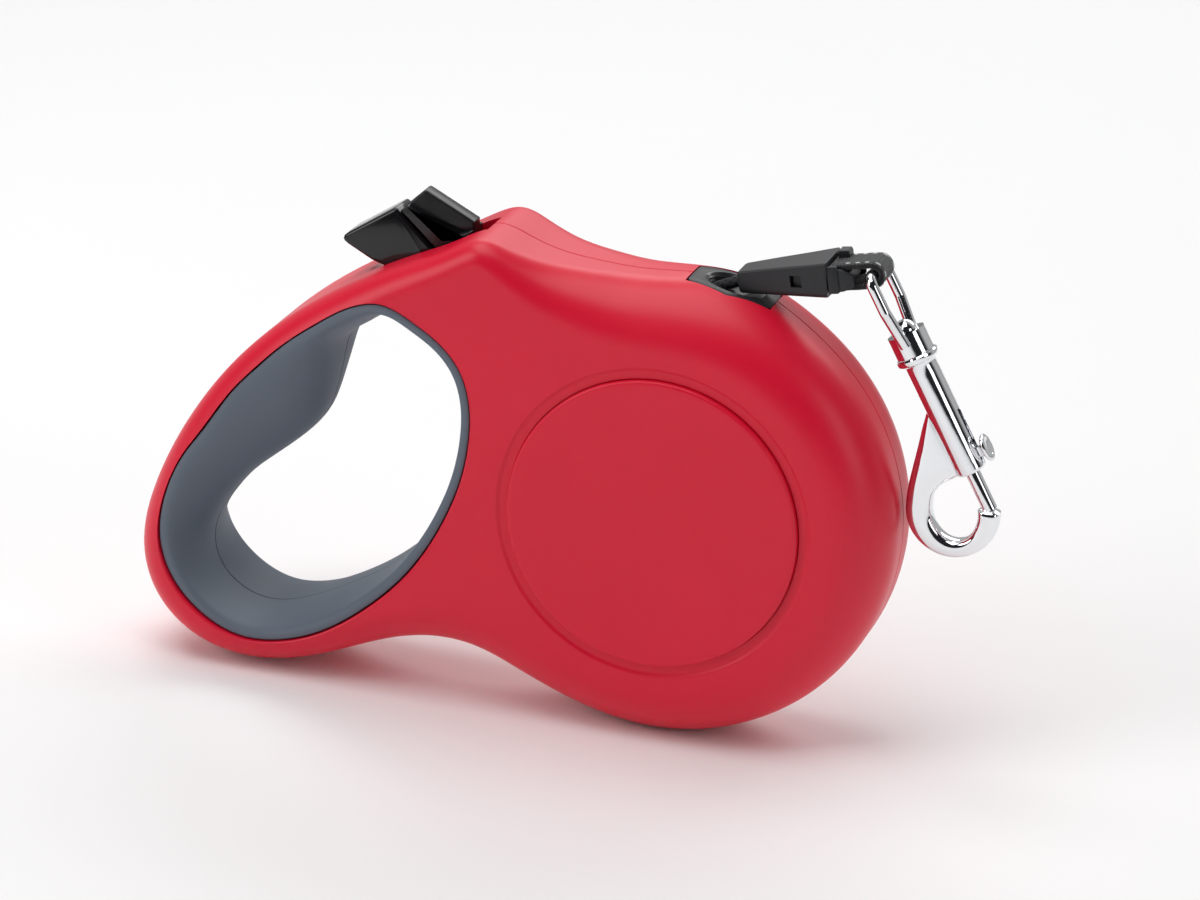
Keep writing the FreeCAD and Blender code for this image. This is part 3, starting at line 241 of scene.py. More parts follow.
def outline_rows():
    """x, z and edge rounding, clockwise: handle, peak, neck, reel, belly, heel."""
    handle = [(-42.2, -19.0), (-39.0, -5.5), (-31.0, 10.0), (-20.5, 23.8), (-8.0, 35.2), (7.0, 44.8)]
    rows = [(GRIP_X + x, z, HANDLE_ROUND) for x, z in handle]
    rows.append((GRIP_X + 21.0, 51.4, 0.5 * (HANDLE_ROUND + PEAK_ROUND)))
    neck = [(130.6, 21.8, 0.02), (126.3, 20.6, 0.0), (123.8, 19.4, 0.0), (121.9, 17.2, 0.02),
            (119.8, 13.8, 0.12), (114.9, 8.2, 0.44), (107.0, 3.6, 0.75), (98.8, 1.0, 0.94)]
    rows += [(*from_reel(angle, rise), PEAK_ROUND + share * (REEL_ROUND - PEAK_ROUND))
             for angle, rise, share in neck]
    rows += [(*from_reel(angle), REEL_ROUND) for angle in range(90, -111, -20)]
    wider = REEL_ROUND - HANDLE_ROUND
    rows += [(*from_reel(angle, rise), HANDLE_ROUND + share * wider)
             for angle, rise, share in ((-129.4, 1.9, 0.95), (-139.6, 5.3, 0.75))]
    rows += [(GRIP_X + x, z, HANDLE_ROUND + share * wider)
             for x, z, share in ((24.5, -35.2, 0.5), (13.4, -37.2, 0.25))]
    heel = [(2.3, -40.9), (-6.0, -43.3), (-14.6, -44.3), (-25.6, -42.6), (-35.1, -36.8), (-40.8, -28.0)]
    rows += [(GRIP_X + x, z, HANDLE_ROUND) for x, z in heel]
    return rows


def smooth_loop(rows, per_span):
    """A closed cubic curve through the rows; its points and the inward direction at each."""
    rows = np.array(rows, float)
    ahead = np.roll(rows, -1, 0)
    step = np.linalg.norm(ahead[:, :2] - rows[:, :2], axis=1)
    before = np.roll(step, 1)
    rise = (ahead - rows) / step[:, None]
    system = np.diag(2 * (before + step))
    for index in range(len(rows)):
        system[index, index - 1] += step[index]
        system[index, (index + 1) % len(rows)] += before[index]
    slope = np.linalg.solve(system, 3 * (step[:, None] * np.roll(rise, 1, 0) + before[:, None] * rise))
    slope_ahead = np.roll(slope, -1, 0)
    points, tangents = [], []
    for t in np.arange(per_span) / per_span:
        reach = step[:, None]
        points.append(rows * (2 * t**3 - 3 * t**2 + 1) + slope * reach * (t**3 - 2 * t**2 + t)
                      + ahead * (3 * t**2 - 2 * t**3) + slope_ahead * reach * (t**3 - t**2))
        tangents.append((rows - ahead) * (6 * t**2 - 6 * t) / reach + slope * (3 * t**2 - 4 * t + 1)
                        + slope_ahead * (3 * t**2 - 2 * t))
    points = np.stack(points, 1).reshape(-1, rows.shape[1])
    tangents = np.stack(tangents, 1).reshape(-1, rows.shape[1])[:, :2]
    tangents /= np.linalg.norm(tangents, axis=1)[:, None]
    return points, np.stack([tangents[:, 1], -tangents[:, 0]], 1)


def mesh_of(name, points, faces, placed=stood):
    mesh = bpy.data.meshes.new(name)
    mesh.from_pydata([placed(*p) for p in points], [], faces)
    tidy = bmesh.new()
    tidy.from_mesh(mesh)
    bmesh.ops.remove_doubles(tidy, verts=tidy.verts, dist=1e-6)
    bmesh.ops.recalc_face_normals(tidy, faces=tidy.faces)
    tidy.to_mesh(mesh)
    tidy.free()
    return mesh


def rings(name, loops, closed=False, placed=stood):
    """Skin over loops with equal counts; the ends are capped, or the last joins the first."""
    count = len(loops[0])
    points = [tuple(p) for loop in loops for p in loop]
    faces = []
    pairs = list(zip(range(len(loops)), range(1, len(loops)))) + ([(len(loops) - 1, 0)] if closed else [])
    for a, b in pairs:
        for k in range(count):
            n = (k + 1) % count
            faces.append((a * count + k, a * count + n, b * count + n, b * count + k))
    if not closed:
        faces.append(tuple(range(count)))
        faces.append(tuple(range((len(loops) - 1) * count, len(loops) * count)))
    return mesh_of(name, points, faces, placed)


def lathe(name, profile, steps=96, placed=stood, centre=(0.0, 0.0)):
    """A turned shape round an axis across the casing; the profile gives radius and y."""
    turns = np.linspace(0, 2 * math.pi, steps, endpoint=False)
    loops = [[(centre[0] + r * math.cos(a), y, centre[1] + r * math.sin(a)) for a in turns]
             for r, y in profile]
    return rings(name, loops, placed=placed)


def bake_modifiers(thing):
    """The object's mesh with its modifiers taken in."""
    bpy.context.view_layer.update()
    seen = thing.evaluated_get(bpy.context.evaluated_depsgraph_get())
    mesh = bpy.data.meshes.new_from_object(seen)
    thing.modifiers.clear()
    thing.data = mesh


def cut_away(thing, meshes):
    """Take solids out of a piece."""
    tools = [link("tool", mesh) for mesh in meshes]
    for tool in tools:
        trim = thing.modifiers.new("cut", "BOOLEAN")
        trim.object = tool
        trim.operation = "DIFFERENCE"
        trim.solver = "EXACT"
    bake_modifiers(thing)
    for tool in tools:
        bpy.data.objects.remove(tool)


def shade(thing, finish, angle=32, weighted=False):
    """Smooth shading that breaks at real edges, and the finish."""
    thing.data.shade_smooth()
    thing.data.set_sharp_from_angle(angle=math.radians(angle))
    if weighted:
        even = thing.modifiers.new("even", "WEIGHTED_NORMAL")
        even.keep_sharp = True
    thing.data.materials.clear()
    thing.data.materials.append(finish.material)


crimson = Finish("crimson_soft_touch", specular_ior_level=0.35, coat_weight=0.12, coat_roughness=0.30)
moulding = crimson.noise(26.0, 2.0)
skin_grain = crimson.noise(5200.0, 2.0)
crimson.set(
    base_color=crimson.blend(moulding, (0.68, 0.0035, 0.028), (0.77, 0.0050, 0.036)),
    roughness=0.34 + moulding * 0.06 + skin_grain * 0.04,
    normal=crimson.bump(skin_grain + moulding * 0.2, 0.00002, 0.35),
)

# The hand opening: x and z of its edge at the side, then of the liner's crest.
OPENING = [
    (16.7, 43.2, 17.5, 38.5), (24.5, 39.8, 23.5, 36.3), (30.6, 35.4, 28.5, 33.2),
    (34.8, 30.0, 32.2, 28.6), (37.0, 22.0, 34.4, 21.7), (36.7, 13.5, 34.1, 13.9),
    (34.7, 4.5, 32.1, 5.3), (31.7, -3.0, 29.2, -1.9), (28.2, -9.6, 25.8, -8.1),
    (21.2, -19.3, 19.0, -17.2), (11.4, -28.3, 10.3, -24.4), (1.7, -34.5, 1.4, -29.2),
    (-8.8, -37.9, -8.2, -33.3), (-17.9, -37.9, -17.3, -34.6), (-27.7, -33.0, -24.9, -31.4),
    (-34.1, -25.3, -28.9, -26.0), (-36.6, -16.4, -29.3, -18.0), (-34.7, -5.2, -24.9, -10.0),
    (-30.4, 3.6, -19.8, -4.2), (-25.7, 9.9, -13.8, 0.7), (-17.9, 20.3, -7.2, 5.9),
    (-12.3, 26.0, -1.8, 12.0), (-6.6, 31.2, 0.7, 18.5), (-2.0, 34.7, 2.2, 24.5),
    (2.2, 37.5, 3.9, 30.2), (9.5, 41.7, 10.0, 34.9),
]
OPENING_EDGE = [(GRIP_X + row[0], row[1]) for row in OPENING]
SCREWS = [(46.2, 28.0), (46.2, -40.0), (46.2, -98.0), (55.4, -155.5), (59.4, 122.6)]
SLOT_HALF = 4.6
SLOT = [(8.5, 46.5), (17.0, 45.0), (24.0, 42.0), (30.8, 37.4), (36.6, 31.5), (44.0, 26.0), (56.0, 44.0),
        (42.0, 49.5), (37.4, 53.0), (37.4, 72.0), (8.5, 72.0)]
PAWL_ROOM_DEPTH = 13.4
PAWL_ROOM = [(32.4, 36.5), (38.0, 32.5), (46.0, 28.0), (58.0, 40.0), (50.0, 44.5), (32.4, 43.0)]


def nozzle_at(along, across, out):
    """A point from the middle of the nozzle bezel."""
    turn = math.radians(NOZZLE_ANGLE)
    x, z = from_reel(NOZZLE_ANGLE, NOZZLE_PROUD + out)
    return x + along * math.sin(turn), across, z - along * math.cos(turn)


def prism(name, corners, y_from, y_to):
    return rings(name, [[(x, y, z) for x, z in corners] for y in (y_from, y_to)])


CAP_STEPS = 192
LIP_SWELL, LIP_SPREAD = 1.7, 15.0


def casing_half(side, name):
    edge, inward = smooth_loop(outline_rows(), 12)
    angle = np.degrees(np.arctan2(edge[:, 1], edge[:, 0]))
    on_reel = np.hypot(edge[:, 0], edge[:, 1]) < 60
    lip = LIP_SWELL * np.exp(-(((angle - NOZZLE_ANGLE) / LIP_SPREAD) ** 2)) * on_reel

    def ring(draw, depth):
        y = HALF - depth
        swell = lip * np.clip(1 - (y / 15.5) ** 2, 0, 1) ** 1.5
        moved = edge[:, :2] + inward * (draw - swell)[:, None]
        return [(x, side * height, z) for (x, z), height in zip(moved, y)]

    rounding = edge[:, 2]
    loops = []
    for a in np.radians(np.arange(0, 91, 5)):
        loops.append(ring(rounding * (1 - math.sin(a)), rounding * (1 - math.cos(a))))
    for share in (0.4, 0.75):
        loops.append(ring(0 * rounding, rounding + (HALF - rounding) * share))
    for draw, y in ((0.0, 0.22), (0.28, 0.03)):
        loops.append(ring(draw + 0 * rounding, HALF - y + 0 * rounding))
    shell = link(name, rings(name, loops))

    far = side * (HALF + 1)
    hole, hole_in = smooth_loop(OPENING_EDGE, 10)
    flare = [(0.0, -1.0), (0.0, HALF - 0.5), (0.08, HALF - 0.25), (0.4, HALF - 0.02), (1.6, HALF + 1)]
    opening = rings("opening", [
        [(x, side * y, z) for x, z in hole - hole_in * out] for out, y in flare
    ])
    cap_seat = lathe("cap_seat", [
        (0.0, side * 15.8), (32.6, side * 15.8), (32.6, side * 16.45), (32.75, side * 16.5),
        (34.2, side * 16.5), (34.6, side * 16.58), (34.9, side * 16.78), (35.4, side * 17.02), (36.0, far),
    ], CAP_STEPS)
    chamber = lathe("chamber", [
        (0.0, -1.0 * side), (48.8, -1.0 * side), (48.8, side * 4.0), (47.9, side * 8.2), (45.6, side * 11.6),
        (42.2, side * 13.9), (38.2, side * 14.6), (0.0, side * 14.6)], 128)
    slot = prism("slot", [(GRIP_X + x, z) for x, z in SLOT], -side, side * SLOT_HALF)
    end, middle, length = (half + BEZEL_GAP for half in (BEZEL_END, BEZEL_MIDDLE, BEZEL_LENGTH))
    bezel = [(-length, -end), (0, -middle), (length, -end), (length, end), (0, middle), (-length, end)]
    nozzle_seat = rings("nozzle_seat", [[nozzle_at(u, v, w) for u, v in bezel] for w in (-7.2, 4)])
    tools = [opening, cap_seat, chamber, slot, nozzle_seat]
    if side < 0:
        tools.append(prism("pawl_room", [(GRIP_X + x, z) for x, z in PAWL_ROOM], 0, -PAWL_ROOM_DEPTH))
    else:
        for number, (radius, direction) in enumerate(SCREWS):
            x, z = (radius * f(math.radians(direction)) for f in (math.cos, math.sin))
            seat = [(0, 5.0), (2.5, 5.0), (2.5, 16.7), (2.9, 17.05), (2.9, 18)]
            tools.append(lathe(f"screw_seat_{number}", seat, 32, centre=(x, z)))
    cut_away(shell, tools)
    shade(shell, crimson, 30, weighted=True)
    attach(shell, "casing")
    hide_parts(name)


casing_half(-1, "right_casing")
casing_half(1, "left_casing")


# ---------------------------------------------------------------- grip liners
# Soft slate-grey rubber lines the hand opening, one ring on each half. Its rim is narrow at the side and
# swells to a crest on the middle plane, where the two rings meet in a fine line.

slate = Finish("slate_grip_rubber", specular_ior_level=0.4)
pores = slate.noise(3800.0, 2.0)
clouding = slate.noise(35.0, 2.0)
slate.set(
    base_color=slate.blend(clouding, (0.112, 0.136, 0.172), (0.135, 0.162, 0.204)),
    roughness=0.52 + clouding * 0.08 + pores * 0.06,
    normal=slate.bump(pores, 0.000025, 0.35),
)
LINER_DEPTH, LINER_GAP, LINER_LIP = HALF - 0.7, 0.3, 2.2


def liner_half(side, name):
    edge_rows, edge_in = smooth_loop(OPENING_EDGE, 1)
    lip_rows = edge_rows + edge_in * (LINER_GAP + LINER_LIP)
    crest_rows = np.array([(GRIP_X + row[2], row[3]) for row in OPENING])
    edge, inward = smooth_loop(OPENING_EDGE, 12)

    def wall(draw, y):
        return [(x, side * y, z) for x, z in edge + inward * (LINER_GAP + draw)]

    def swell(share, y=None, back=0.0):
        rows = lip_rows + (crest_rows - lip_rows) * (1 - share ** 2.4)
        loop, loop_in = smooth_loop(rows, 12)
        height = LINER_DEPTH * share if y is None else y
        return [(x, side * height, z) for x, z in loop - loop_in * back]

    loops = [wall(0, 0.05), wall(0, LINER_DEPTH - 0.5)]
    loops += [wall(0.12, LINER_DEPTH - 0.15), wall(0.45, LINER_DEPTH)]
    rim, corner, inside = (np.array(loop) for loop in (wall(1.2, LINER_DEPTH), swell(1.0), swell(0.9)))
    for t in (0, 0.2, 0.4, 0.6, 0.8, 1.0):
        loops.append((1 - t) ** 2 * rim + 2 * t * (1 - t) * corner + t * t * inside)
    for share in np.arange(0.85, 0.02, -0.05):
        loops.append(swell(share))
    loops += [swell(0.0, 0.22), swell(0.0, 0.05, 0.18)]
    liner = link(name, rings(name, loops, closed=True))
    shade(liner, slate, 40)
    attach(liner, "casing")
    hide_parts(name)


liner_half(-1, "right_grip_liner")
liner_half(1, "left_grip_liner")


# ---------------------------------------------------------------- centre caps
# A round crimson cap snaps into the seat on each side and hides the end of the axle. Its face is a shade
# dished and its outer edge is eased.

def centre_cap(side, name):
    profile = [(0.0, 17.62), (10.0, 17.64), (20.0, 17.69), (27.0, 17.75), (30.5, 17.79), (31.6, 17.8),
               (32.0, 17.74), (32.25, 17.6), (32.4, 17.35), (32.4, 15.85), (0.0, 15.85)]
    cap = link(name, lathe(name, [(r, side * y) for r, y in profile], CAP_STEPS))
    shade(cap, crimson, 35)
    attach(cap, "casing")
    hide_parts(name)


centre_cap(-1, "right_centre_cap")
centre_cap(1, "left_centre_cap")


# ---------------------------------------------------------------- axle, screws and pins
# A plain steel axle, its cap-side screw, five pan-head casing screws put in from the left, and the two
# pivot pins of the brake. The springs are the same bare steel.

steel = Finish("bare_steel", metallic=1.0)
drawn = steel.noise(900.0, 3.0, steel.node(
    "ShaderNodeMapping", inputs={"Vector": steel.place, "Scale": (1.0, 0.06, 1.0)}))
steel.set(
    base_color=steel.blend(drawn, (0.46, 0.46, 0.47), (0.60, 0.60, 0.61)),
    roughness=0.22 + drawn * 0.16,
    normal=steel.bump(drawn, 0.00001, 0.3),
)


def coat_nodes(finish, *names):
    """Give CAD pieces whose shape is right their finish."""
    for name in names:
        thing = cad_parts[name]
        for slot in thing.material_slots:
            slot.material = finish.material
        if not thing.material_slots:
            thing.data.materials.append(finish.material)


coat_nodes(steel, "spool_axle", "axle_screw", "casing_screws", "button_pin", "pawl_pin",
           "button_return_spring", "power_spring", "bolt_spring")


# ---------------------------------------------------------------- reel and pawl
# The spool, the lid of its spring cup and the brake pawl are natural acetal: milky, a little waxy, with
# faint flow marks from the mould.

acetal = Finish("natural_acetal")
flow = acetal.noise(60.0, 4.0)
acetal.set(
    base_color=acetal.blend(flow, (0.62, 0.61, 0.57), (0.72, 0.71, 0.68)),
    roughness=0.38 + flow * 0.12,
    normal=acetal.bump(acetal.noise(1500.0), 0.00001, 0.3),
)
coat_nodes(acetal, "spool", "spring_cup_cover", "brake_pawl")


# ---------------------------------------------------------------- cord
# Braided black nylon, 2.4 mm: a closed winding on the drum, and the lead that runs out through the nozzle
# into the connector. The plait shows as two crossing sets of ridges.

nylon = Finish("braided_nylon", roughness=0.75, specular_ior_level=0.3)
strands = [
    nylon.node("ShaderNodeTexWave", {"bands_direction": "DIAGONAL"}, {
        "Vector": nylon.node("ShaderNodeMapping", inputs={"Vector": nylon.place, "Rotation": (0, lean, 0)}),
        "Scale": 320.0, "Distortion": 0.6})
    for lean in (0.5, 2.1)
]
plait = strands[0].math("MAXIMUM", *strands)
nylon.set(
    base_color=nylon.blend(plait, (0.006, 0.006, 0.007), (0.030, 0.031, 0.034)),
    normal=nylon.bump(plait, 0.00012, 0.6),
)
coat_nodes(nylon, "wound_cord", "cord_lead")


# ---------------------------------------------------------------- brake button
# A glossy black thumb paddle moulded in ABS. It tips on its pin inside the slot. Its tip overhangs the
# handle, and its rear face slopes down beside the lock.

gloss = Finish("gloss_black", specular_ior_level=0.3, coat_weight=0.3, coat_roughness=0.04)
handled = gloss.noise(120.0, 4.0)
gloss.set(
    base_color=gloss.blend(handled, (0.004, 0.004, 0.005), (0.008, 0.008, 0.009)),
    roughness=0.10 + handled * 0.10,
    normal=gloss.bump(gloss.noise(220.0, 2.0), 0.00004, 0.25),
)


def eased_corners(rows, steps=5):
    """A closed outline whose corners (x, z, radius) are rounded."""
    outline = []
    count = len(rows)
    for index, (x, z, radius) in enumerate(rows):
        here = Vector((x, z))
        before = (Vector(rows[index - 1][:2]) - here).normalized()
        after = (Vector(rows[(index + 1) % count][:2]) - here).normalized()
        if radius == 0:
            outline.append(here)
            continue
        reach = radius / math.tan(before.angle(after) / 2)
        start, end = here + before * reach, here + after * reach
        for t in np.linspace(0, 1, steps):
            outline.append((1 - t) ** 2 * start + 2 * t * (1 - t) * here + t * t * end)
    return [tuple(p) for p in outline]


def slab(name, corners, half, ease):
    """A plate of an outline, with its edges eased towards both sides."""
    outline = np.array(eased_corners(corners))
    ahead, behind = np.roll(outline, -1, 0), np.roll(outline, 1, 0)
    tangent = ahead - behind
    tangent /= np.linalg.norm(tangent, axis=1)[:, None]
    inward = np.stack([tangent[:, 1], -tangent[:, 0]], 1)
    loops = []
    for side in (-1, 1):
        half_loops = []
        for a in np.radians((0, 30, 60, 90)):
            draw, y = ease * (1 - math.sin(a)), half - ease * (1 - math.cos(a))
            half_loops.append([(x, side * y, z) for x, z in outline + inward * draw])
        loops += half_loops if side < 0 else half_loops[::-1]
    return rings(name, loops)


def grip_rows(rows):
    return [(GRIP_X + x, z, radius) for x, z, radius in rows]


PADDLE_HALF = 4.25
button = link("brake_button", slab("brake_button", grip_rows([
    (2.8, 53.2, 1.5), (16.2, 61.2, 0.8), (23.8, 53.4, 0.8), (27.6, 50.2, 1.2), (30.4, 45.4, 1.0),
    (30.2, 40.4, 0.6), (28.0, 40.8, 0.6), (23.4, 43.8, 1.0), (15.6, 47.0, 1.0), (10.5, 48.8, 1.0),
]), PADDLE_HALF, 0.7))
shade(button, gloss, 40)
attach(button, "button")
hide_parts("brake_button")


# ---------------------------------------------------------------- lock slider
# A narrow upright fin on a wider foot, moulded in the same black ABS but a little greyer where thumbs rub
# it. It slides along the slot, away from the paddle.

worn = Finish("worn_gloss_black", specular_ior_level=0.35)
rubbed = worn.noise(300.0, 5.0)
worn.set(
    base_color=worn.blend(rubbed, (0.007, 0.007, 0.008), (0.018, 0.019, 0.021)),
    roughness=0.18 + rubbed * 0.16,
    normal=worn.bump(worn.noise(900.0, 3.0), 0.00001, 0.4),
)
FIN_HALF, FOOT_HALF = 2.1, 4.15
fin = slab("lock_slider", grip_rows([
    (17.3, 60.9, 0.3), (22.2, 65.2, 0.7), (33.4, 59.0, 0.4), (33.4, 56.4, 0.3), (32.6, 55.2, 0.3),
    (25.6, 52.5, 0.4),
]), FIN_HALF, 0.45)
lock = link("lock_slider", fin)
shade(lock, worn, 40)
foot = link("lock_foot", slab("lock_foot", grip_rows([
    (17.5, 60.6, 0.3), (18.9, 61.9, 0.3), (26.8, 54.9, 0.5), (33.2, 57.4, 0.3), (33.2, 55.4, 0.3),
    (25.6, 52.5, 0.4),
]), FOOT_HALF, 0.3))
shade(foot, worn, 40)
for part in (lock, foot):
    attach(part, "lock")
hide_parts("lock_slider")


# ---------------------------------------------------------------- cord nozzle
# A black six-sided bezel pressed into its seat from outside. A polished funnel with two faint steps leads
# the cord down to the throat.

satin = Finish("satin_black", specular_ior_level=0.4)
texture_grain = satin.noise(2600.0, 3.0)
sheen_drift = satin.noise(70.0, 2.0)
satin.set(
    base_color=satin.blend(sheen_drift, (0.014, 0.015, 0.017), (0.022, 0.023, 0.026)),
    roughness=0.36 + sheen_drift * 0.08 + texture_grain * 0.08,
    normal=satin.bump(texture_grain, 0.00003, 0.4),
)
polished = Finish("polished_black", specular_ior_level=0.6)
rub = polished.noise(240.0, 3.0)
polished.set(
    base_color=polished.blend(rub, (0.016, 0.016, 0.018), (0.028, 0.028, 0.031)),
    roughness=0.16 + rub * 0.10,
    normal=polished.bump(rub, 0.00002, 0.3),
)
NOZZLE_STEPS = 120
BEZEL_CRISP, BEZEL_PROUD = 14, 0.8


def bezel_point(turn, inset):
    """Where a ray from the middle of the bezel meets its six-sided edge."""
    half_length, half_end, half_middle = BEZEL_LENGTH - inset, BEZEL_END - inset, BEZEL_MIDDLE - inset
    u, v = math.cos(turn), math.sin(turn)
    to_end = half_length / max(abs(u), 1e-6)
    to_side = half_middle / (abs(v) + abs(u) * (half_middle - half_end) / half_length)
    reach = (to_end ** -BEZEL_CRISP + to_side ** -BEZEL_CRISP) ** (-1 / BEZEL_CRISP)
    return u * reach, v * reach


def bezel_top(u, v):
    """The outer face follows the rounded edge of the casing."""
    fall = max(0.0, abs(v) - (HALF - REEL_ROUND))
    rounding = REEL_ROUND - math.sqrt(REEL_ROUND ** 2 - fall * fall)
    return math.sqrt((REEL_R + BEZEL_PROUD) ** 2 - u * u) - (REEL_R + NOZZLE_PROUD) - rounding


nozzle_loops = []
nozzle_turns = np.linspace(0, 2 * math.pi, NOZZLE_STEPS, endpoint=False)
BEZEL_EASE = ((0.0, 6.4), (0.0, 0.35), (0.1, 0.1), (0.35, 0.0))
for inset, sink in BEZEL_EASE:
    edge_points = [bezel_point(a, inset) for a in nozzle_turns]
    nozzle_loops.append([nozzle_at(u, v, bezel_top(u, v) - sink) for u, v in edge_points])
funnel_rows = [
    (6.8, 5.4, 0.0, 0.0), (6.5, 5.15, 0.12, 0.0), (6.2, 4.9, 0.5, 0.0), (5.7, 4.5, 0.75, -0.1),
    (5.5, 4.3, 1.15, -0.2), (4.9, 3.8, 1.5, -0.4), (4.7, 3.6, 1.9, -0.5), (4.0, 3.0, 2.5, -0.9),
    (3.2, 2.5, 3.3, -1.4), (2.6, 2.2, 4.2, -1.9), (2.3, 2.1, 5.0, -2.4), (2.2, 2.0, 6.4, -3.2),
]
for half_u, half_v, sink, shift in funnel_rows:
    ellipse = [(shift + half_u * math.cos(a), half_v * math.sin(a)) for a in nozzle_turns]
    level = 1 - min(1.0, sink / 2.0)
    nozzle_loops.append([nozzle_at(u, v, level * bezel_top(u, v) - sink) for u, v in ellipse])
nozzle = link("cord_nozzle", rings("cord_nozzle", nozzle_loops, closed=True))
shade(nozzle, satin, 35)
nozzle.data.materials.append(polished.material)
for face in nozzle.data.polygons:
    row = face.index // NOZZLE_STEPS
    face.material_index = 1 if row >= len(BEZEL_EASE) else 0
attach(nozzle, "casing")
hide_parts("cord_nozzle")


# ---------------------------------------------------------------- connector sleeve
# A wedge-shaped sleeve of glass-filled nylon that slides over the insert and locks the cord and webbing.
# Flat on top with crisp ridges, rounder below, with a small latch window through each side.

CLIP_TAIL = Vector((14.807, 0, 51.535))
CLIP_LEAN = math.radians(8.681)
CLIP_REACH = 29.65


def clip_at(x, y, z):
    """A point from the tail of the connector, x along it and z square to it."""
    along = CLIP_TAIL.x + x * math.cos(CLIP_LEAN) - z * math.sin(CLIP_LEAN)
    up = CLIP_TAIL.z + x * math.sin(CLIP_LEAN) + z * math.cos(CLIP_LEAN)
    return stood(along, y, up)


def box_loop(x, half, low, high, top_ease, low_ease, slant=0.0):
    """A rounded rectangle across the connector."""
    rows = [(-half, low, low_ease), (half, low, low_ease), (half, high, top_ease), (-half, high, top_ease)]
    return [(x + slant * (z - low) / (high - low), y, z) for y, z in eased_corners(rows, 6)]


sleeve_rows = [
    (0.0, 3.1, -2.1, 1.9), (0.15, 3.4, -2.4, 2.2), (0.6, 3.6, -2.6, 2.4), (7.0, 4.45, -3.05, 2.95),
    (14.0, 5.5, -3.5, 3.45), (19.4, 6.3, -3.85, 3.88), (19.9, 6.3, -3.85, 3.9), (20.1, 6.15, -3.7, 3.75),
]
sleeve_loops = [box_loop(x, half, low, high, 0.6, 1.5, 0.5 * x / 20) for x, half, low, high in sleeve_rows]
sleeve_loops += [box_loop(x, half, low, high, 0.5, 0.9, 0.5) for x, half, low, high in (
    (20.1, 5.1, -2.95, 2.95), (19.8, 4.9, -2.75, 2.75), (12.0, 4.3, -2.3, 2.3))]
sleeve = link("connector_sleeve", rings("connector_sleeve", sleeve_loops, placed=clip_at))
window = rings("window", [[(x, y, z) for x, z in ((12.1, -1.15), (14.6, -1.35), (14.6, 1.35), (12.1, 1.35))]
                          for y in (-8, 8)], placed=clip_at)
cut_away(sleeve, [window])
shade(sleeve, satin, 32, weighted=True)
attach(sleeve, "lead")
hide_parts("connector_sleeve")


# ---------------------------------------------------------------- connector insert
# The inner half of the clip: a shoulder with a side tab each way, a narrower neck that grips the webbing,
# and a stop block on top.

def joined(name, meshes):
    """Several closed meshes as one."""
    whole = bmesh.new()
    for mesh in meshes:
        whole.from_mesh(mesh)
    merged = bpy.data.meshes.new(name)
    whole.to_mesh(merged)
    whole.free()
    return merged


def bar_mesh(rows, ease, beside=0.0):
    """A bar along the connector, from rows of x, half width, low and high; beside moves it across."""
    loops = [[(px, py + beside, pz) for px, py, pz in box_loop(x, half, low, high, ease, ease)]
             for x, half, low, high in rows]
    return rings("bar", loops, placed=clip_at)


insert_parts = [
    bar_mesh([(12.5, 4.1, -2.1, 2.1), (20.2, 4.7, -2.6, 2.6), (21.6, 4.9, -2.9, 2.7),
              (21.9, 4.7, -2.7, 2.5)], 0.5),
    bar_mesh([(21.0, 4.3, -1.4, 1.4), (24.8, 4.2, -1.35, 1.35), (25.1, 4.0, -1.15, 1.15)], 0.4),
]
for side in (-1, 1):
    tab = [(20.3, 0.35, -2.7, 2.6), (20.5, 0.6, -3.0, 2.9), (22.4, 0.6, -3.0, 2.9), (22.7, 0.4, -2.8, 2.6)]
    cheek = [(21.6, 0.35, -2.9, 2.4), (23.6, 0.45, -2.7, 2.0),
             (25.6, 0.4, -2.0, 0.9), (26.0, 0.25, -1.6, 0.5)]
    insert_parts += [bar_mesh(tab, 0.3, side * 5.2), bar_mesh(cheek, 0.25, side * 4.95)]
insert_parts.append(bar_mesh([(21.4, 1.4, 2.4, 4.2), (21.7, 1.7, 2.3, 4.5), (23.6, 1.7, 2.3, 4.4),
                              (23.9, 1.5, 2.4, 4.1)], 0.4, 2.9))
insert = link("connector_insert", joined("connector_insert", insert_parts))
shade(insert, satin, 38)
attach(insert, "lead")
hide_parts("connector_insert")


# ---------------------------------------------------------------- webbing loop
# Black polyester webbing, 9 mm wide, doubled back round the bar of the swivel eye and clamped in the
# insert. A reflective thread runs along it near both edges as short raised stitches.

weave = Finish("black_webbing", specular_ior_level=0.25, sheen_weight=0.25, sheen_roughness=0.5)
ribs = weave.node("ShaderNodeTexWave", {"bands_direction": "Y"}, {
    "Vector": weave.place, "Scale": 560.0, "Distortion": 0.8, "Detail": 1.0})
picks = weave.node("ShaderNodeTexWave", {"bands_direction": "X"}, {
    "Vector": weave.node("ShaderNodeMapping", inputs={"Vector": weave.place, "Rotation": (0, 0.2, 0)}),
    "Scale": 400.0, "Distortion": 1.2, "Detail": 1.0})
cloth = ribs * picks
weave.set(
    base_color=weave.blend(cloth, (0.006, 0.006, 0.007), (0.045, 0.047, 0.052)),
    roughness=0.55 + cloth * 0.25,
    normal=weave.bump(cloth, 0.00022, 0.8),
)
BAND_MIDDLE, BAND_START, BAND_RISE = 2.25, 21.3, 0.6


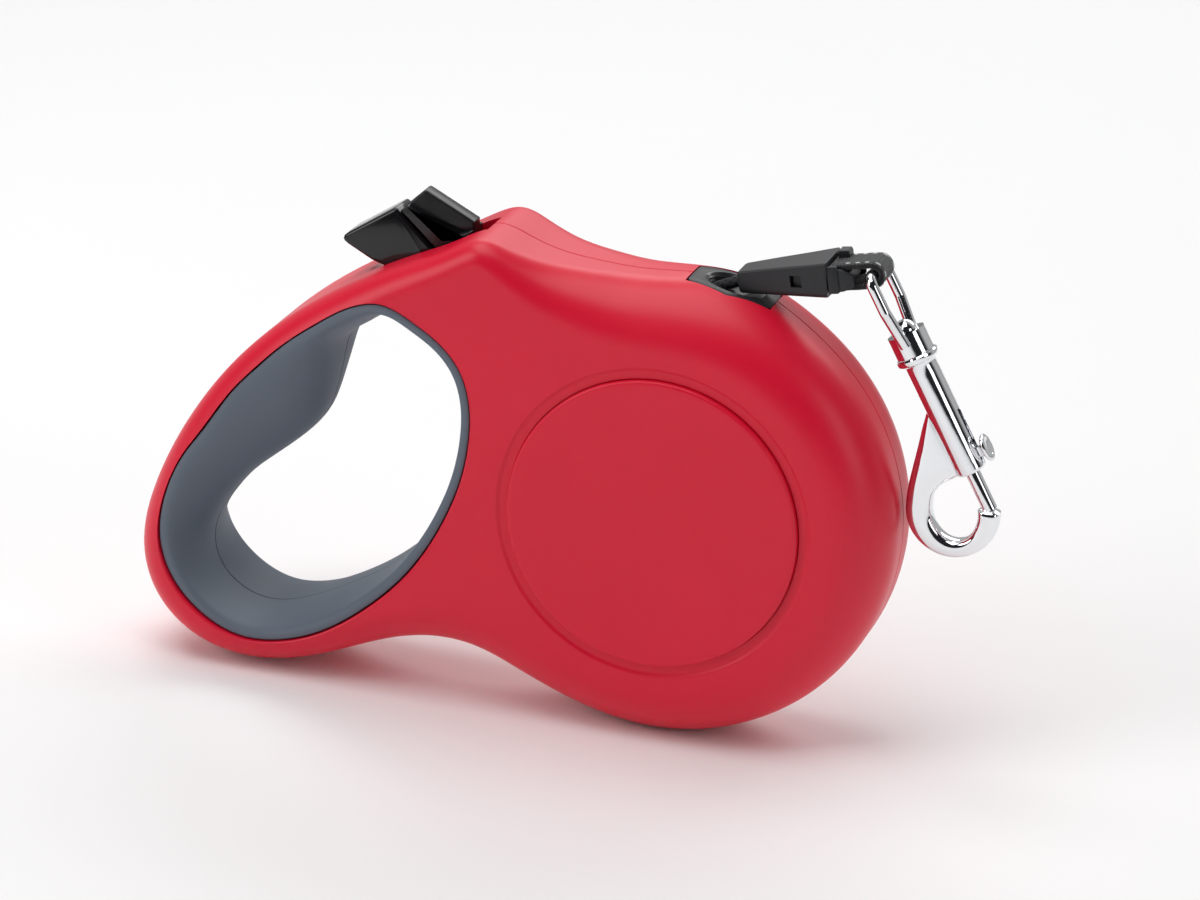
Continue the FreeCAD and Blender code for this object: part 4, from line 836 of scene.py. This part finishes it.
def band_path(distance):
    """A point on the middle of the band and its outward direction, by distance from the upper end."""
    run = CLIP_REACH - BAND_START
    bend = math.pi * BAND_MIDDLE
    if distance < run:
        return BAND_START + distance, BAND_MIDDLE, (0.0, 1.0)
    if distance < run + bend:
        turn = (distance - run) / BAND_MIDDLE
        out = (math.sin(turn), math.cos(turn))
        return CLIP_REACH + BAND_MIDDLE * out[0], BAND_MIDDLE * out[1], out
    return CLIP_REACH - (distance - run - bend), -BAND_MIDDLE, (0.0, -1.0)


BAND_LENGTH = 2 * (CLIP_REACH - BAND_START) + math.pi * BAND_MIDDLE
band_upper = [(-4.45, 0.0), (-4.38, 0.38), (-4.1, 0.58), (-2.2, BAND_RISE), (0, BAND_RISE),
              (2.2, BAND_RISE), (4.1, 0.58), (4.38, 0.38)]
band_section = band_upper + [(-y, -t) for y, t in band_upper]
band_loops = []
for distance in np.linspace(0, BAND_LENGTH, 61):
    x, z, out = band_path(distance)
    slack = 1.0 + 0.012 * math.sin(distance * 2.1)
    band_loops.append([(x + out[0] * t, y * slack, z + out[1] * t) for y, t in band_section])
webbing = link("webbing_loop", rings("webbing_loop", band_loops, placed=clip_at))
shade(webbing, weave, 50)
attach(webbing, "lead")
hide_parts("webbing_loop")

thread = Finish("reflective_thread", specular_ior_level=0.6)
glint = thread.noise(4000.0, 2.0)
thread.set(
    base_color=thread.blend(glint, (0.35, 0.36, 0.38), (0.75, 0.76, 0.78)),
    roughness=0.35 + glint * 0.2,
    normal=thread.bump(glint, 0.00004, 0.5),
)


def stitch(distance, y):
    """A short raised stitch on the outside of the band."""
    loops = []
    for share, size in ((-1.0, 0.25), (-0.8, 0.75), (-0.4, 1.0), (0.4, 1.0), (0.8, 0.75), (1.0, 0.25)):
        x, z, out = band_path(min(max(distance + 0.55 * share, 0), BAND_LENGTH))
        loop = []
        for a in np.linspace(0, 2 * math.pi, 8, endpoint=False):
            rise = BAND_RISE + 0.14 * size * math.sin(a) + 0.03
            loop.append((x + out[0] * rise, y + 0.28 * size * math.cos(a), z + out[1] * rise))
        loops.append(loop)
    return rings("stitch", loops, placed=clip_at)


stitches = link("webbing_stitches", joined("webbing_stitches", [
    stitch(distance, y) for y in (-3.3, 3.3) for distance in np.arange(3.4, BAND_LENGTH - 3, 2.1)
]))
shade(stitches, thread, 60)
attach(stitches, "lead")


# ---------------------------------------------------------------- swivel eye and rivet
# Zinc die-castings, copper-nickel-chromed and polished. The plating is mirror bright with the faint
# unevenness of the cast metal under it. The rivet holds the collar so that the snap can turn.

chrome = Finish("polished_chrome", metallic=1.0)
casting = chrome.noise(380.0, 2.0)
smears = chrome.noise(90.0, 4.0)
chrome.set(
    base_color=chrome.blend(smears, (0.78, 0.79, 0.81), (0.87, 0.88, 0.90)),
    roughness=0.035 + smears * 0.05,
    normal=chrome.bump(casting, 0.00006, 0.35),
)
coat_nodes(chrome, "swivel_eye", "swivel_rivet")


# ---------------------------------------------------------------- snap hook
# A die-cast trigger snap: a flanged barrel that houses the bolt, slotted for the knob, and a hook that
# leaves it as a flat web, widens round the oval throat and ends in the tip that the bolt closes on.

SNAP_EYE = Vector((44.122, 0, 56.007))
SNAP_LEAN = math.radians(27.2)


def snap_at(x, y, z):
    """A point from the bar of the eye, z up the barrel and x away from the casing."""
    along = SNAP_EYE.x + x * math.cos(SNAP_LEAN) - z * math.sin(SNAP_LEAN)
    up = SNAP_EYE.z + x * math.sin(SNAP_LEAN) + z * math.cos(SNAP_LEAN)
    return stood(along, y, up)


def snap_turned(name, profile, steps=64):
    """A turned shape round the barrel's axis; the profile gives radius and z."""
    turns = np.linspace(0, 2 * math.pi, steps, endpoint=False)
    loops = [[(r * math.cos(a), r * math.sin(a), z) for a in turns] for r, z in profile]
    return rings(name, loops, placed=snap_at)


barrel_mesh = snap_turned("snap_barrel", [
    (0.0, -20.6), (3.9, -19.55), (4.4, -19.6), (4.7, -19.95), (4.7, -20.7), (4.45, -21.05),
    (4.0, -21.2), (3.6, -21.5), (3.42, -22.2), (3.4, -24.0), (3.4, -46.9), (3.3, -47.35),
    (3.0, -47.6), (1.9, -47.6), (1.7, -47.4), (1.68, -24.0), (0.0, -23.0),
])
barrel = link("snap_hook", barrel_mesh)
SLOT_SECTION = ((0.3, -0.95), (8, -0.95), (8, 0.95), (0.3, 0.95))
slot_tool = rings("slot_tool", [[(x, y, z) for x, y in SLOT_SECTION] for z in (-33.9, -49.0)], placed=snap_at)
cut_away(barrel, [slot_tool])

THROAT = (-7.1, -54.0)
THROAT_LONG, THROAT_SHORT, THROAT_LEAN = 6.7, 4.95, math.radians(21.2)


def throat_edge(angle):
    """The inside of the hook in a direction from the middle of the throat."""
    turn = angle - math.pi / 2 + THROAT_LEAN
    reach = 1 / math.hypot(math.cos(turn) / THROAT_LONG, math.sin(turn) / THROAT_SHORT)
    return THROAT[0] + reach * math.cos(angle), THROAT[1] + reach * math.sin(angle)


BEND_MIDDLE, BEND_R, HOOK_HALF = (-7.7, -54.2), 10.3, 2.5


def hook_back(angle):
    """The outside of the bend, a circle."""
    dx, dz = THROAT[0] - BEND_MIDDLE[0], THROAT[1] - BEND_MIDDLE[1]
    ux, uz = math.cos(angle), math.sin(angle)
    b = dx * ux + dz * uz
    reach = -b + math.sqrt(b * b - (dx * dx + dz * dz) + BEND_R ** 2)
    return THROAT[0] + reach * ux, THROAT[1] + reach * uz


# The web and the bend: x and z of the outside, x and z of the inside, half thickness.
hook_rows = [
    (-1.2, -29.6, -1.2, -47.0, 1.3), (-3.2, -31.8, -3.0, -47.5, 1.9), (-5.6, -34.6, -4.6, -47.7, 2.2),
    (-8.6, -38.4, -6.3, -47.7, 2.35), (-11.7, -42.2, -8.3, -48.3, 2.45), (-14.4, -45.6, -9.9, -49.3, 2.5),
]
for degrees in range(150, 331, 12):
    angle = math.radians(degrees)
    hook_rows.append((*hook_back(angle), *throat_edge(angle), HOOK_HALF))
hook_rows.append((*hook_back(math.radians(334)), *throat_edge(math.radians(338)), 2.3))
hook_rows = np.array(hook_rows)


def open_curve(rows, per_span):
    """A smooth open run through rows."""
    rows = np.vstack([2 * rows[0] - rows[1], rows, 2 * rows[-1] - rows[-2]])
    made = []
    for index in range(1, len(rows) - 2):
        p0, p1, p2, p3 = rows[index - 1:index + 3]
        for t in np.arange(per_span) / per_span:
            made.append(0.5 * (2 * p1 + (p2 - p0) * t + (2 * p0 - 5 * p1 + 4 * p2 - p3) * t**2
                               + (3 * p1 - p0 - 3 * p2 + p3) * t**3))
    made.append(rows[-2])
    return np.array(made)


hook_loops = []
for outer_x, outer_z, inner_x, inner_z, thick in open_curve(hook_rows, 4):
    middle = Vector(((outer_x + inner_x) / 2, (outer_z + inner_z) / 2))
    reach = Vector((outer_x, outer_z)) - middle
    loop = []
    for a in np.linspace(0, 2 * math.pi, 40, endpoint=False):
        c, s = math.cos(a), math.sin(a)
        across = math.copysign(abs(c) ** (2 / 3.0), c)
        rise = math.copysign(abs(s) ** (2 / 2.4), s)
        loop.append((middle.x + reach.x * across, thick * rise, middle.y + reach.y * across))
    hook_loops.append(loop)
tip = np.array(hook_loops[-1])
tip_middle = tip.mean(0)
for share, push in ((0.8, 0.35), (0.4, 0.55)):
    ahead = np.array((0.2, 0, 1.0)) * push
    hook_loops.append([tuple(tip_middle + (p - tip_middle) * share + ahead) for p in tip])
hook = link("snap_bend", rings("snap_bend", hook_loops, placed=snap_at))
for part in (barrel, hook):
    shade(part, chrome, 40)
    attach(part, "snap")
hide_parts("snap_hook")


# ---------------------------------------------------------------- snap bolt
# A turned rod that shuts the hook under its spring. Its cast thumb knob, an oval dish on a short stem,
# stands out of the slot and faces away from the barrel.

KNOB_LEVEL, KNOB_ACROSS, KNOB_ALONG = -44.0, 2.7, 3.1
rod_mesh = snap_turned("bolt_rod", [
    (0.0, -57.1), (1.3, -57.1), (1.6, -56.8), (1.6, -34.9), (1.35, -34.6), (0.0, -34.6)], 40)
stem_loops = []
for x, half, tall in ((0.3, 0.8, 1.2), (3.6, 0.8, 1.2), (4.3, 0.95, 1.38), (4.9, 1.5, 1.8)):
    section = eased_corners([(-half, -tall, 0.3), (half, -tall, 0.3), (half, tall, 0.3), (-half, tall, 0.3)])
    stem_loops.append([(x, y, KNOB_LEVEL - 0.1 + z) for y, z in section])
stem_mesh = rings("bolt_stem", stem_loops, placed=snap_at)
knob_rows = [
    (4.55, 0.0), (4.6, 0.55), (4.75, 0.84), (5.05, 0.97), (5.35, 1.0), (5.65, 0.97), (5.85, 0.86),
    (5.85, 0.72), (5.65, 0.6), (5.5, 0.42), (5.45, 0.0),
]
knob_mesh = rings("bolt_knob", [
    [(x, KNOB_ACROSS * share * math.cos(a), KNOB_LEVEL + KNOB_ALONG * share * math.sin(a))
     for a in np.linspace(0, 2 * math.pi, 48, endpoint=False)] for x, share in knob_rows], placed=snap_at)
bolt = link("snap_bolt", joined("snap_bolt", [rod_mesh, stem_mesh, knob_mesh]))
shade(bolt, chrome, 40)
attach(bolt, "bolt")
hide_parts("snap_bolt")
